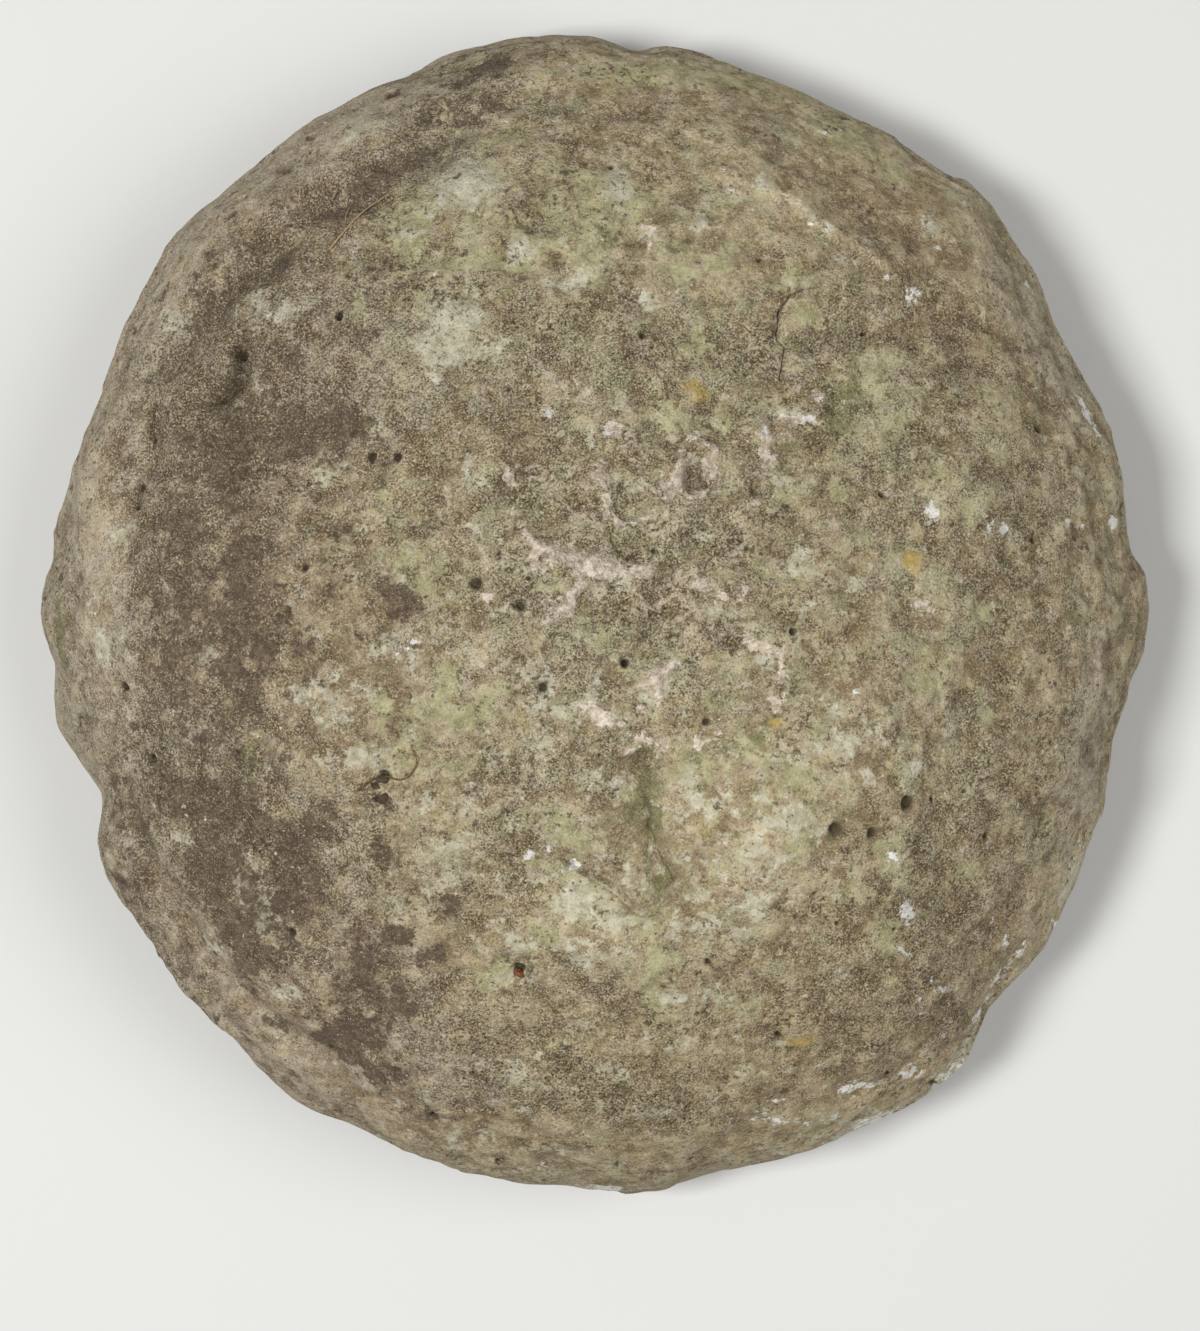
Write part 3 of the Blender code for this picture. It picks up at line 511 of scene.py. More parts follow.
# Thin growths that fill the grain: green, pale and olive. Some pale rows are also painted light, and some
# olive rows painted shade
GREEN_FILM = (
    (-4, 96, 20, 18, 0.75), (-19, 89, 14, 10, 0.7), (-47, 94, 14, 18, 0.9), (-50, 82, 34, 34, 0.35),
    (-46, -33, 10, 12, 0.9), (-37, -38, 11, 8, 0.8), (-30, 112, 18, 20, 0.6),
    (-10, -54, 26, 9, 0.8, -10), (14, -88, 9, 26, 0.9), (72, -64, 8, 14, 0.8), (58, 31, 10, 8, 0.8),
    (73, 46, 14, 7, 0.8), (50, -47, 14, 14, 0.7), (70, 117, 52, 10, 0.4, -38),
    (0, 97, 18, 16.5, 0.6, -20), (7, 103, 8.5, 7.5, 0.8), (25, 84, 19.5, 7, 0.9), (-25, 95, 4, 4, 0.8),
    (-28.5, 84.5, 7.5, 4, 0.7), (-18, 84.5, 8.5, 6, 0.9), (-31.5, 104.5, 7.5, 5, 0.6, 30),
    (47, 80.5, 10, 5, 0.7), (50, 71, 10.5, 13.5, 0.4), (69, 58, 9, 14, 0.75), (61, 51, 8, 16, 0.6),
    (-43, 75.5, 5, 4, 0.8), (-46.5, 107, 4.5, 4, 0.7), (16, 137, 38, 5.5, 0.8, -3),
    (44, 136, 15.5, 6.5, 0.7, -15), (64, 122, 23, 9, 0.6, -25), (28.5, 45.5, 8, 6.5, 0.9),
    (16.5, 48, 7, 9.5, 0.7), (95.5, 54, 5, 6, 0.9), (90.5, 36, 6, 4, 1), (81, 34, 7, 6.5, 0.8),
    (91, 23.5, 7, 5.5, 0.8), (49, 10, 6.5, 8.5, 0.8), (98, -0.5, 14, 11, 0.5), (81.5, -11, 8, 6, 0.9),
    (81, -17.5, 9, 6.5, 1), (102.5, -19.5, 4, 2.5, 1), (98.5, -27.5, 5, 8, 0.8),
    (76.5, -39, 5, 3.5, 0.9), (75, -40.5, 7, 5.5, 0.8), (-36, -17.5, 6, 6, 1.1),
    (-40, -24.5, 26.5, 8.5, 0.8), (-52.5, -24, 8, 6.5, 0.8), (-28, -23, 7.5, 7, 0.9),
    (-84, -29, 5, 8, 0.7), (-53, 28.5, 5.5, 5, 0.6), (-42.5, 9, 12, 15, 0.7),
    (-79.5, -50.5, 3.5, 3, 0.8), (-7, -65, 12, 7, 1, -35), (-13.5, -79.5, 8, 6, 0.9),
    (-22.5, -89, 9.5, 11, 0.9), (-2, -130, 7, 9, 0.8), (11.5, -48, 8, 6, 0.8),
    (22.5, -37.5, 12, 5, 0.7, 5), (15, -69, 7, 9.5, 0.6), (35, -98, 14.5, 7.5, 0.6),
    (48.5, -57, 9.5, 14.5, 0.5), (71.5, -79.5, 6.5, 6.5, 1.2), (92, -65, 7, 6, 0.9),
    (104, -53, 5.5, 4.5, 0.8), (73.5, -92, 5.5, 4.5, 0.8), (65.5, -71, 12, 6.5, 0.6),
    (-9, 7, 12, 8.5, 0.6), (10, 26, 10.5, 8.5, 0.6), (0.5, -7.5, 12, 7, 0.5),
    (-9.5, -106.5, 6.5, 3, 0.9), (-64.5, -43.5, 6.5, 5, 0.6), (39, -32.5, 12, 9.5, 0.5),
    (25, 65, 6, 6, 0.7), (45, 0, 110, 200, 0.25), (-10, 95, 70, 40, 0.25),
)
PALE_FILM_AND_LIGHT = (
    (-32.5, 106, 14, 12, 1.2, 20), (-37, 69, 10, 16, 1, -25), (68, -131, 34, 7, 0.8, 20),
    (95, -113, 20, 6, 0.7, 40), (110, -95, 8, 26, 0.6, -30), (122, -70, 6, 24, 0.7, -20),
    (43, -64, 8, 10, 0.5, -20), (-3, -70, 18, 6, 0.6, -25), (42, 103.5, 10, 3, 0.6, -25),
    (50, 99, 9, 3, 0.6, -38), (58, 93.5, 9, 3, 0.55, -30), (84, 96, 9, 2, 0.8, -48),
    (10, -66, 5, 6, 0.8, -30), (-34, 105, 11.5, 11.5, 1.2), (5.5, 104.5, 10, 8.5, 0.9),
    (-18, 89, 6.5, 6.5, 0.9), (-6, 80, 10.5, 6, 0.6), (-37.5, 63, 8, 8, 1), (-30, 71, 8, 8, 0.9),
    (-27, 63, 6.5, 5.5, 0.8), (-12, 121, 5.5, 5.5, 0.7), (-81, 75.5, 14.5, 10, 0.75),
    (-107.5, 72, 11, 13.5, 0.55, 20), (-61, 119, 12.5, 2.5, 0.9, 30), (-39.5, 63, 7.5, 7.5, 0.6),
    (-48.5, 93.5, 10.5, 2, 0.9, -5), (26.5, 96, 6.5, 8, 0.8), (5.5, 51, 3.5, 5, 0.8),
    (12, 76, 3.5, 4, 1), (-84.5, 57, 3.5, 3.5, 1), (-91.5, 51.5, 3.5, 3.5, 1), (-88, 48, 3, 3, 1),
    (-64, -24, 13, 15, 0.45), (-72.5, -20.5, 6.5, 7.5, 0.6), (-56.5, -36.5, 8, 7, 0.8),
    (-124, -8, 10, 12, 0.7), (-119, 19, 7.5, 10, 0.7), (-65, 36, 6, 4.5, 0.9), (-68.5, 33, 5, 4, 0.8),
    (-96, -8.5, 4.5, 10, 0.8, 10), (-102.5, -29.5, 7.5, 5, 0.7), (-46.5, -9.5, 12, 8, 0.6),
    (-86.5, -73.5, 12.5, 16, 0.9, 10), (-101, -58, 22, 5, 0.5, -20), (-76.5, -95, 7.5, 5, 0.7),
    (-96.5, -84.5, 7.5, 4, 0.9, -30), (-1, -74, 15, 9, 0.5, -20), (-2, -86.5, 6, 5, 1),
    (-21, -80, 4, 3.5, 0.8), (-36, -65.5, 7.5, 6, 0.7), (-20, -116, 7, 5.5, 0.8),
    (-35.5, -134, 6, 7, 0.7), (15, -19.5, 8.5, 5.5, 0.9, 20), (0.5, -25.5, 10.5, 3, 0.5, -15),
    (-17.5, -35, 9.5, 7, 0.5), (48, -50, 10, 9, 0.5), (36, -51, 26, 24, 0.35, 15),
    (20, -95, 9, 5, 0.65), (30.5, -95.5, 10, 4.5, 0.5), (36, -71.5, 12, 7, 0.6),
    (25, -77.5, 12, 7.5, 0.6), (61, -30.5, 18, 8, 0.7), (78.5, -39, 12, 7.5, 0.5),
    (85.5, 15, 14, 4, 0.6), (63.5, 6.5, 7.5, 4.5, 0.7), (49, 12, 6.5, 6.5, 0.7),
    (88, -30.5, 4, 5.5, 0.9), (65, -40, 4, 3.5, 0.9), (49, 47, 9.5, 3.5, 0.9),
    (46.5, 60.5, 7.5, 9.5, 0.4), (32.5, 105.5, 6.5, 10, 0.7), (-40.5, 55.5, 9.5, 7, 0.5),
    (-52.5, 43.5, 9.5, 9.5, 0.4), (-30.5, 31, 12, 7, 0.45), (0.5, 4.5, 9.5, 7, 0.5),
    (29.5, 0, 9.5, 7, 0.5), (46.5, -12, 12, 9.5, 0.5), (-9, -21.5, 12, 9.5, 0.4),
    # The broadest rows lighten the middle and the lower part as painted light
    (10, 20, 80, 80, 0.15), (-10, -60, 110, 110, 0.3), (0, -130, 120, 30, 0.15),
)
OLIVE_FILM_AND_SHADE = (
    (-85, -35, 9, 18, 0.8), (47, 36, 10, 14, 0.55), (62, 55, 8, 12, 0.5), (88, 4, 10, 8, 0.6),
    (2, 91, 12, 6, 0.5), (18, 96, 10, 6, 0.55), (28, 82, 10, 8, 0.5), (24, -39, 9, 7, 0.6),
    # The narrow rows along the grooves round the hill in the lower middle are painted shade
    (20, 31, 10, 6, 0.5), (16, -35, 12, 3, 0.6), (31, -33, 14, 3, 0.8, 8), (41, -28, 9, 3, 0.8, 50),
    (47, -21, 10, 3, 0.8, 45), (12, -43, 3, 13, 1, 8), (13.5, -56, 2.5, 17, 1.1, -10),
    (60.5, 50, 7.5, 16, 1), (10.5, -48.5, 8, 6, 0.9), (38, -52, 34, 34, 0.3),
    (12.5, -43.5, 6, 9.5, 0.8), (16, -65.5, 3.5, 14.5, 0.8, -15), (44, 133, 15, 5, 0.6, -15),
    (49, 66, 6.5, 4.5, 0.9), (10.5, -121.5, 15, 6.5, 0.6), (-137, -6, 3.5, 22.5, 1),
    (104, 12.5, 10, 10, 0.3), (62.5, 78.5, 5.5, 14.5, 0.6, 10), (85, 114, 13, 7.5, 0.5, -35),
    (117, -7, 12.5, 17.5, 0.6), (10.5, 67, 4, 3, 0.8), (56.5, 43.5, 9.5, 7.5, 0.7),
    (-7.5, 75.5, 4.5, 1, 1),
)
# Scraped places, raised a little and worn pale
SCARS = (
    (-12.1, 13.8, 8, 3.7, 1.2, -10), (-6.8, 12.2, 6.4, 2.7, 1.1, -15), (2.2, 9.6, 16, 4.8, 1.1, -5),
    (9.2, 9.6, 4.2, 2.7, 1.1), (-14.7, 11.2, 2.7, 5.3, 0.9), (-10, -0.5, 6.4, 4.8, 1),
    (-6.3, 2.7, 2.1, 4.8, 1), (3.3, 43.6, 7.4, 4.2, 1, 25), (-12.1, 47.8, 3.7, 2.7, 1),
    (1.2, 31.9, 3.2, 5.3, 1), (2.2, 25, 1.6, 9.5, 0.9), (-20.6, 31.9, 4.2, 4.8, 1),
    (-18, 20.8, 2.6, 6.4, 1, 30), (18.2, 29.8, 5.3, 5.3, 1.2), (20.3, 34, 2.6, 3.7, 1),
    (24, 40.9, 7.4, 1.5, 1, -10), (27.7, 33.5, 1.6, 8.5, 1), (40.5, 40.9, 3.2, 9.5, 1.1, 10),
    (42.6, 36.1, 2.6, 3.2, 0.9), (49.5, 46.2, 9.5, 3.2, 1), (14.5, -16.4, 7.4, 3.7, 1.1, 25),
    (14.5, -19.6, 2.6, 6.4, 0.9), (11.3, -23.9, 3.2, 1.9, 1), (-3.6, -23.4, 2.1, 4.2, 1, 25),
    (1.7, -26.5, 6.4, 2.3, 0.8, -20), (10.7, -31.3, 5.3, 2.7, 0.9), (15.5, -32.9, 6.4, 1.6, 0.9),
    (24.5, -31.8, 2.6, 3.2, 0.9), (35.7, 4.8, 3.2, 4.2, 0.9), (25, 5.3, 3.7, 2.3, 1),
    (39.4, -9, 12.7, 3.2, 0.9, -28), (45.3, -14.3, 2, 11.7, 0.8), (43.1, -21.7, 3, 6, 0.8, -20),
    (-25.9, 2.7, 3.2, 4.8, 0.9), (-26.6, 10.1, 1.5, 4.2, 0.9), (30.4, 3.2, 3.2, 2.1, 0.8),
    (12.5, 90, 2, 8.5, 0.7), (12.5, 95, 4.5, 1.5, 0.7), (80, 1, 5, 4, 0.9), (54.5, 52, 3.5, 5, 0.5),
)
# Chalky white marks
CHALK = (
    (-49, -11, 2, 1.5, 1), (-46, -9, 2, 1.5, 1), (-44, -8, 1.5, 1.5, 1), (82, 24, 3.5, 4.5, 1.3),
    (101, 20.5, 3, 3, 1.2), (96.5, 20.5, 2, 3, 1.1), (98, 14.5, 1, 4, 0.9), (118.5, 22, 2, 3, 1),
    (123, 22, 1.5, 2, 0.8), (132, 23, 2.5, 4, 1.1), (62.5, -20, 1, 2, 1), (72.5, -60.5, 3, 2.5, 1.2),
    (76.5, -75, 3, 6, 1.3), (78.5, -84.5, 1.5, 4.5, 0.9, -15), (76, -84.5, 5, 1, 0.9, -25),
    (84, -91.5, 1, 4.5, 0.9), (80, -97, 1, 6.5, 0.9, 15), (87, -95, 5.5, 1.5, 0.8, -15),
    (87.5, -107, 1.5, 3, 0.9), (83, -109.5, 2, 2.5, 0.9, 30), (79, -116.5, 6, 3.5, 0.85),
    (90, -117, 14, 2.4, 0.75, 38), (98, -103, 12, 2.2, 0.75, 55), (108, -88, 9, 2.4, 0.75, 60),
    (66, -120.5, 13, 3.4, 0.78, 10), (45.5, -128.5, 15, 2.6, 0.74, -6), (60, -128, 9, 2.4, 0.7, 15),
    (72, -131, 20, 3, 0.8, 24), (44.5, -123.5, 6.5, 1.5, 0.8, 25), (65.5, -137, 7, 1.5, 1, 10),
    (101.5, -79.5, 1.5, 2.5, 0.9), (104.5, -83.5, 1.5, 3.5, 0.9, -30), (118.5, -81, 2, 4.5, 0.9, 30),
    (103.5, -94.5, 1.5, 6, 0.8, -30), (125, -60, 1.5, 2.5, 0.8), (-16.5, -60, 4, 1.5, 1.2, 20),
    (-12, -59, 1.5, 1.5, 1), (-5.5, -62.5, 3.5, 2, 1.2, -10), (2, -149, 10.5, 2, 1),
    (-14, -142, 4.5, 1.5, 0.8), (78.5, 78.5, 5.5, 5.5, 0.8), (71, 82, 2, 1.5, 0.9),
    (85, 91, 1.5, 1.5, 1.1), (67, 85.5, 2, 1.5, 0.7), (52, 95, 2.5, 1, 0.8), (57, 121.5, 3.5, 1.5, 0.7),
    (50.5, 117.5, 1.5, 1.5, 0.7), (69, 106, 2, 1.5, 0.8), (75, 100, 1.5, 1, 0.7),
    (31.5, 109, 1.5, 1.5, 0.8), (33.5, 103.5, 2, 1.5, 0.8), (30, 100.5, 1.5, 1.5, 0.7),
    (4, 116.5, 4, 1, 0.7), (51.5, 47, 3.5, 2, 1), (55.5, 52.5, 1.5, 2, 0.7), (38, 46.5, 1.5, 1, 1),
    (41, 43.5, 1.5, 4, 1, 5), (-12.5, 48, 2.5, 2, 1), (2, 43, 2, 4, 0.8),
    (124.5, 53.5, 2, 7.5, 0.8, 25), (127, 48.5, 2, 7.5, 0.8, 25), (110.5, 56, 2, 2, 0.6),
    (110, 83, 2, 4, 0.7, 40), (98, 106, 1.5, 2, 0.9), (11, -24, 1.5, 1, 0.9),
)
# Ochre spots
OCHRE = (
    (24, 53.5, 6.5, 7, 1), (53.5, 40, 3, 3, 1), (78, 12, 4.5, 5.5, 1.3), (43, -27.5, 3.5, 3, 1.2),
    (70, 80.5, 3.5, 3.5, 0.5), (50, 133, 2.5, 2.5, 0.7), (49.5, -107, 12.5, 3, 0.8, 5),
    (17, -110, 1.5, 1.5, 0.8), (77, -66, 3, 2.5, 0.5), (28, -30.5, 2.5, 2, 0.5),
    (-76.5, -58.5, 2.5, 2.5, 0.6),
)
# Bare sandy ground
SANDY = (
    (-32, 42, 44, 30, 0.8), (0, -118, 190, 50, 1), (70, -95, 80, 60, 0.9, 30), (-20, -95, 90, 40, 0.7),
    (90, -40, 60, 90, 0.5), (60, 90, 50, 60, 0.3, 40), (-40, 40, 50, 60, 0.6), (-10, -45, 50, 40, 0.4),
    (30, 25, 60, 60, 0.4), (-60, -20, 40, 60, 0.5), (100, 40, 50, 80, 0.5),
)
# Pale dust, mostly on the flank, where films are thin. Along the rim it is also painted light
DUST_AND_LIGHT = (
    (38, 96, 26, 16, 0.5, -30), (50, 68, 8, 10, 0.6), (28, 80, 20, 14, 0.25),
    (124, -35, 12, 54, 1.2, -8), (112, 70, 14, 60, 1, 32), (-112, 42, 14, 40, 0.9),
    (-101, -82, 32, 9, 1.3, -48), (-80, -101, 26, 8, 1.2, -38), (38, -54, 22, 28, 0.3, 15),
    (-45, 56, 150, 36, 0.5), (34, 124, 90, 26, 0.35, -14), (-128, 20, 14, 90, 1.2, 4),
    (-100, 93, 60, 12, 1.2, 48), (-66, 121, 40, 9, 1.1, 28), (-118, 10, 60, 190, 1.0),
    (-95, 75, 60, 70, 1, -40), (-105, -70, 60, 90, 0.8, 35), (-113, -76, 40, 8, 1.0, -52),
    (-75, -100, 70, 50, 0.9, -40), (-60, 115, 70, 40, 0.8, 35), (-80, 0, 60, 200, 0.5),
    (-40, -120, 60, 40, 0.5, -20),
)
# Ground worn smooth, without fine lumps
SMOOTH = (
    (36, -52, 36, 36, 1), (-2, -74, 22, 12, 1, -20), (10, -66, 8, 8, 0.8), (70, 115, 80, 14, 1, -38),
    (50, 99, 30, 8, 0.9, -36), (20, 135, 60, 14, 0.8), (-100, 93, 70, 14, 0.9, 48),
    (-66, 121, 50, 12, 0.9, 28), (-126, 20, 14, 110, 0.9, 4), (-101, -82, 40, 10, 0.9, -48),
    (-70, -112, 40, 10, 0.9, -35), (70, -132, 60, 12, 0.9, 28), (118, -80, 14, 60, 0.8, -28),
    (64, -30, 20, 10, 0.5),
)
# Where the skeleton stands bare in basins with raised borders
BASINS = (
    (10, 12, 92, 84, 1), (45, 70, 50, 60, 0.5), (78, 15, 60, 90, 0.6), (70, -45, 60, 60, 0.5),
    (-15, 85, 70, 50, 0.5), (25, -85, 80, 50, 0.35), (-50, 20, 50, 60, 0.3),
)
# Where the bare cells of the skeleton show most
CELLS = (
    (5, 15, 90, 90, 0.9), (-8, 68, 40, 18, 1), (-45, 60, 60, 60, 0.6), (-90, 60, 50, 40, 0.9, 40),
    (-75, -60, 70, 60, 0.6), (-27, -114, 26, 16, 1, -20), (-4, -116, 22, 12, 1), (18, -124, 26, 14, 1),
    (-10, -38, 24, 14, 0.9), (-18, -64, 18, 18, 0.9), (25, 60, 30, 16, 1), (-12, 95, 12, 8, 1),
    (-15, -105, 90, 50, 0.6), (0, 125, 60, 30, 0.4), (75, -90, 60, 50, 0.8), (70, 60, 50, 60, 0.7),
    (95, -50, 50, 60, 0.7), (100, 20, 50, 70, 0.7), (-20, -55, 16, 10, 0.9), (-120, 0, 30, 120, 0.7),
    (-95, 60, 70, 90, 0.8), (-105, -50, 50, 110, 0.7), (-50, 115, 80, 40, 0.8, 30),
)
# Where the cells stand open as small dark pores
PORES = (
    (-27, -113, 22, 12, 1, -15), (-5, -117, 20, 9, 1), (17, -124, 24, 10, 1), (-34, -104, 14, 8, 0.8),
    (-84, 70, 12, 7, 0.9), (-104, 62, 12, 10, 0.8), (-60, 98, 14, 6, 0.7), (-95, -4, 10, 14, 0.6),
    (-12, 70, 26, 9, 0.8), (30, 60, 24, 9, 0.7), (10, 0, 22, 9, 0.8), (16, 20, 20, 10, 0.8),
    (-20, -52, 16, 8, 0.8), (52, -73, 14, 9, 0.8), (86, -70, 14, 10, 0.7), (90, 30, 14, 10, 0.6),
    (-68, -98, 14, 8, 0.8),
)

# Patches that the skin's finish reads, by the name it knows them by
MARKS = {
    "mud": MUD, "brown": BROWN_STAIN_AND_SHADE, "green": GREEN_FILM, "pale": PALE_FILM_AND_LIGHT, "olive": OLIVE_FILM_AND_SHADE,
    "sandy": SANDY, "dust_and_light": DUST_AND_LIGHT, "chalk": CHALK, "ochre": OCHRE, "cells": CELLS, "pores": PORES,
    "smooth": SMOOTH,
}
# Reach over which marks fade out below the rim
MARKS_FADE = (1.0, 1.12)


def patches(rows, x, y):
    """How strongly a point lies in a list of patches: 1 in a middle and half at a patch's edge."""
    outside = np.ones(len(x))
    for cx, cy, width, length, strength, *turn in rows:
        turn = math.radians(sum(turn))
        c, s = math.cos(turn), math.sin(turn)
        across = ((x - cx * MM) * c + (y - cy * MM) * s) / (width * MM / 2.0)
        along = ((y - cy * MM) * c - (x - cx * MM) * s) / (length * MM / 2.0)
        outside *= 1.0 - np.minimum(strength * np.exp(-0.7 * (across ** 2 + along ** 2)), 1.0)
    return 1.0 - outside


def ridge_wear(x, y):
    """How pale the skeleton's ridges are worn, 1 along their crests."""
    wear = np.zeros(len(x))
    for height, width, points in SKELETON:
        distance = line_distance(x, y, metres(points))
        wear = np.maximum(wear, min(0.8, 0.1 + 0.7 * height) * bump_at(distance, 1.4 * width * MM))
    return wear


# ---------------------------------------------------------------- the skin's net

def new_net():
    """The net of faces laid out flat, where a point's distance from the middle is its reach."""
    net = bmesh.new()
    bmesh.ops.create_grid(net, x_segments=PATCH, y_segments=PATCH, size=1.0)
    for vert in net.verts:
        wide = math.tan(vert.co.x * math.pi / 4.0)
        deep = math.tan(vert.co.y * math.pi / 4.0)
        bearing = math.atan2(deep, wide)
        reach = PATCH_SHARE * math.atan(math.hypot(wide, deep)) / (math.pi / 2.0)
        vert.co = Vector((reach * math.cos(bearing), reach * math.sin(bearing), 0.0))
    edge = [e for e in net.edges if e.is_boundary]
    for row in range(FLANK_ROWS + UNDER_ROWS):
        ring = bmesh.ops.extrude_edge_only(net, edges=edge)["geom"]
        edge = [item for item in ring if isinstance(item, bmesh.types.BMEdge)]
        for vert in (item for item in ring if isinstance(item, bmesh.types.BMVert)):
            reach = vert.co.length
            if row < FLANK_ROWS:
                target = reach + (1.0 - reach) / (FLANK_ROWS - row)
            else:
                target = 1.0 + (row - FLANK_ROWS + 1) / UNDER_ROWS
            vert.co *= target / reach
    return net


def net_arrays(net):
    """Reach and bearing of every point of the net, and its place on the smooth dome in plan."""
    flat = np.array([vert.co[:2] for vert in net.verts])
    reach, bearing = np.hypot(flat[:, 0], flat[:, 1]), np.arctan2(flat[:, 1], flat[:, 0])
    points = dome_points(reach, bearing)
    return reach, bearing, points[:, 0], points[:, 1]


def halve_near(net, near):
    """Halves the faces whose points are marked."""
    net.verts.index_update()
    chosen = [e for e in net.edges if near[e.verts[0].index] and near[e.verts[1].index]]
    bmesh.ops.subdivide_edges(net, edges=chosen, cuts=1, use_grid_fill=True)


def near_sharp_forms(x, y):
    """Marks the points in the summit field and near ridges, steps, pits and cracks."""
    cx, cy, half_width, half_length = SUMMIT_FIELD
    near = ((x - cx) / half_width) ** 2 + ((y - cy) / half_length) ** 2 < 1.0
    for _, width, line in SKELETON:
        near |= np.abs(line_distance(x, y, metres(line))) < width * MM + FINE_MARGIN
    for _, _, line in STEPS:
        near |= np.abs(line_distance(x, y, line)) < FINE_MARGIN
    return near | near_holes(x, y, FINE_MARGIN)


def near_holes(x, y, margin):
    """Marks the points in pits and cracks, and in a margin round them."""
    near = np.zeros(len(x), dtype=bool)
    for cx, cy, width, _ in PITS:
        near |= np.hypot(x - cx * MM, y - cy * MM) < width * MM / 2.0 + margin
    for _, _, line in CRACKS:
        near |= np.abs(line_distance(x, y, metres(line))) < margin + 0.5 * MM
    return near


def refined_net():
    """The net with its faces halved near sharp forms, and once more round pits and cracks."""
    net = new_net()
    _, _, x, y = net_arrays(net)
    halve_near(net, near_sharp_forms(x, y))
    reach, _, x, y = net_arrays(net)
    halve_near(net, near_holes(x, y, FINEST_MARGIN) & (reach < 1.0))
    return net


def fit_to_box(points, low, high):
    """Moves and scales points so that they fill a box exactly."""
    first, last = points.min(axis=0), points.max(axis=0)
    return np.array(low) + (points - first) * (np.array(high) - np.array(low)) / (last - first)


def close_base(net):
    """Closes the net with one flat face of the second material, and makes all faces triangles."""
    base = bmesh.ops.holes_fill(net, edges=[e for e in net.edges if e.is_boundary], sides=0)["faces"]
    bmesh.ops.recalc_face_normals(net, faces=net.faces)
    for face in net.faces:
        face.smooth = True
    for face in base:
        face.smooth = False
        face.material_index = 1
    bmesh.ops.triangulate(net, faces=net.faces)


def keep_values(mesh, name, values):
    """Stores one number a point on a mesh, for its finish to read."""
    attribute = mesh.attributes.new(name, "FLOAT", "POINT")
    attribute.data.foreach_set("value", np.asarray(values, dtype=np.float32))


def fossil_skin():
    """The whole surface in fine faces, with what lies on each place kept as point values."""
    net = refined_net()
    reach, bearing, x, y = net_arrays(net)
    smooth = dome_points(reach, bearing)
    wander = stirred_places(smooth, WANDER, WANDER_LENGTH)
    fade = 1.0 - between(reach, RELIEF_FADES)
    even = 1.0 - RIM_EVENNESS * between(reach, LUMPS_FADE)
    even *= 1.0 - SMOOTH_EVENNESS * patches(SMOOTH, x, y)
    swells, lumps = (even * sum(waviness(smooth, *row) for row in rows) for rows in (LUMPS[:1], LUMPS[1:]))
    sharp = sharp_relief(reach, bearing, *wander) * fade + growth_ledges(smooth, reach)
    border, tone = skeleton_basins(smooth, patches(BASINS, x, y))
    scars = patches(SCARS, *wander)
    raised = BASIN_RELIEF * (border + 0.4 * tone + 0.5 * scars)
    depth, inside = holes(*stirred_places(smooth, HOLE_WANDER, HOLE_WANDER_LENGTH))
    top = reach < 1.0
    out = broad_relief(x, y) * fade + sharp + swells + lumps + (raised - depth) * top
    points = smooth + dome_normals(reach, bearing) * out[:, None]
    for vert, point in zip(net.verts, fit_to_box(points, *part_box(NODE))):
        vert.co = point
    close_base(net)
    mesh = bpy.data.meshes.new("skin")
    net.to_mesh(mesh)
    net.free()
    for name, rows in MARKS.items():
        keep_values(mesh, name, patches(rows, x, y) * (1.0 - between(reach, MARKS_FADE)))
    keep_values(mesh, "border", border)
    keep_values(mesh, "tone", tone)
    keep_values(mesh, "wear", np.maximum(ridge_wear(*wander), scars))
    keep_values(mesh, "hole", inside * top)
    keep_values(mesh, "ring", bowl_shade_rings(*wander))
    keep_values(mesh, "hollow", -(0.2 * (sharp + swells) + lumps + raised) / HOLLOW_DEPTH)
    keep_values(mesh, "reach", reach)
    return mesh


# ---------------------------------------------------------------- tints, as a screen shows them

# The stone's broad tones: stops of a noise, with the tint at each
STONE_TONES = (
    (0.38, (0.425, 0.355, 0.24)), (0.46, (0.565, 0.50, 0.37)),
    (0.54, (0.655, 0.59, 0.45)), (0.62, (0.775, 0.72, 0.60)),
)
# Drifts of colour over the stone: shift of the noise, its size, where it starts and is full, share, tint
DRIFTS = (
    (0.31, 0.010, 0.50, 0.60, 0.75, (0.65, 0.61, 0.44)),
    (0.77, 0.008, 0.51, 0.61, 0.75, (0.615, 0.56, 0.49)),
    (1.37, 0.006, 0.52, 0.61, 0.80, (0.45, 0.385, 0.285)),
    (2.11, 0.005, 0.52, 0.61, 0.80, (0.745, 0.70, 0.605)),
    (2.71, 0.009, 0.52, 0.62, 0.70, (0.60, 0.605, 0.48)),
)
# Films: size of their noise, dark and light tint, where they start and are full, raggedness, share, shift
FILMS = {
    "sandy": (0.006, (0.49, 0.42, 0.30), (0.67, 0.60, 0.455), 0.42, 0.78, 2.6, 0.70, 3.3),
    "dust_and_light": (0.008, (0.53, 0.485, 0.425), (0.71, 0.668, 0.605), 0.42, 0.78, 2.6, 0.75, 8.1),
    "brown": (0.007, (0.41, 0.34, 0.245), (0.565, 0.485, 0.365), 0.42, 0.78, 4.2, 0.75, 1.7),
    "green": (0.007, (0.515, 0.50, 0.36), (0.705, 0.685, 0.535), 0.37, 0.85, 4.2, 0.90, 0.53),
    "olive": (0.006, (0.36, 0.35, 0.22), (0.49, 0.48, 0.33), 0.42, 0.78, 4.2, 0.80, 2.3),
    "pale": (0.006, (0.60, 0.58, 0.485), (0.775, 0.76, 0.675), 0.37, 0.80, 4.2, 0.90, 0.91),
}
MUD_TONES = ((0.36, (0.255, 0.21, 0.165)), (0.50, (0.33, 0.28, 0.225)), (0.66, (0.45, 0.39, 0.315)))
WORN_TONES = ((0.40, (0.67, 0.60, 0.52)), (0.58, (0.87, 0.82, 0.755)))
SAWN_TONES = ((0.1, (0.52, 0.48, 0.41)), (0.6, (0.63, 0.60, 0.53)), (0.95, (0.70, 0.67, 0.60)))

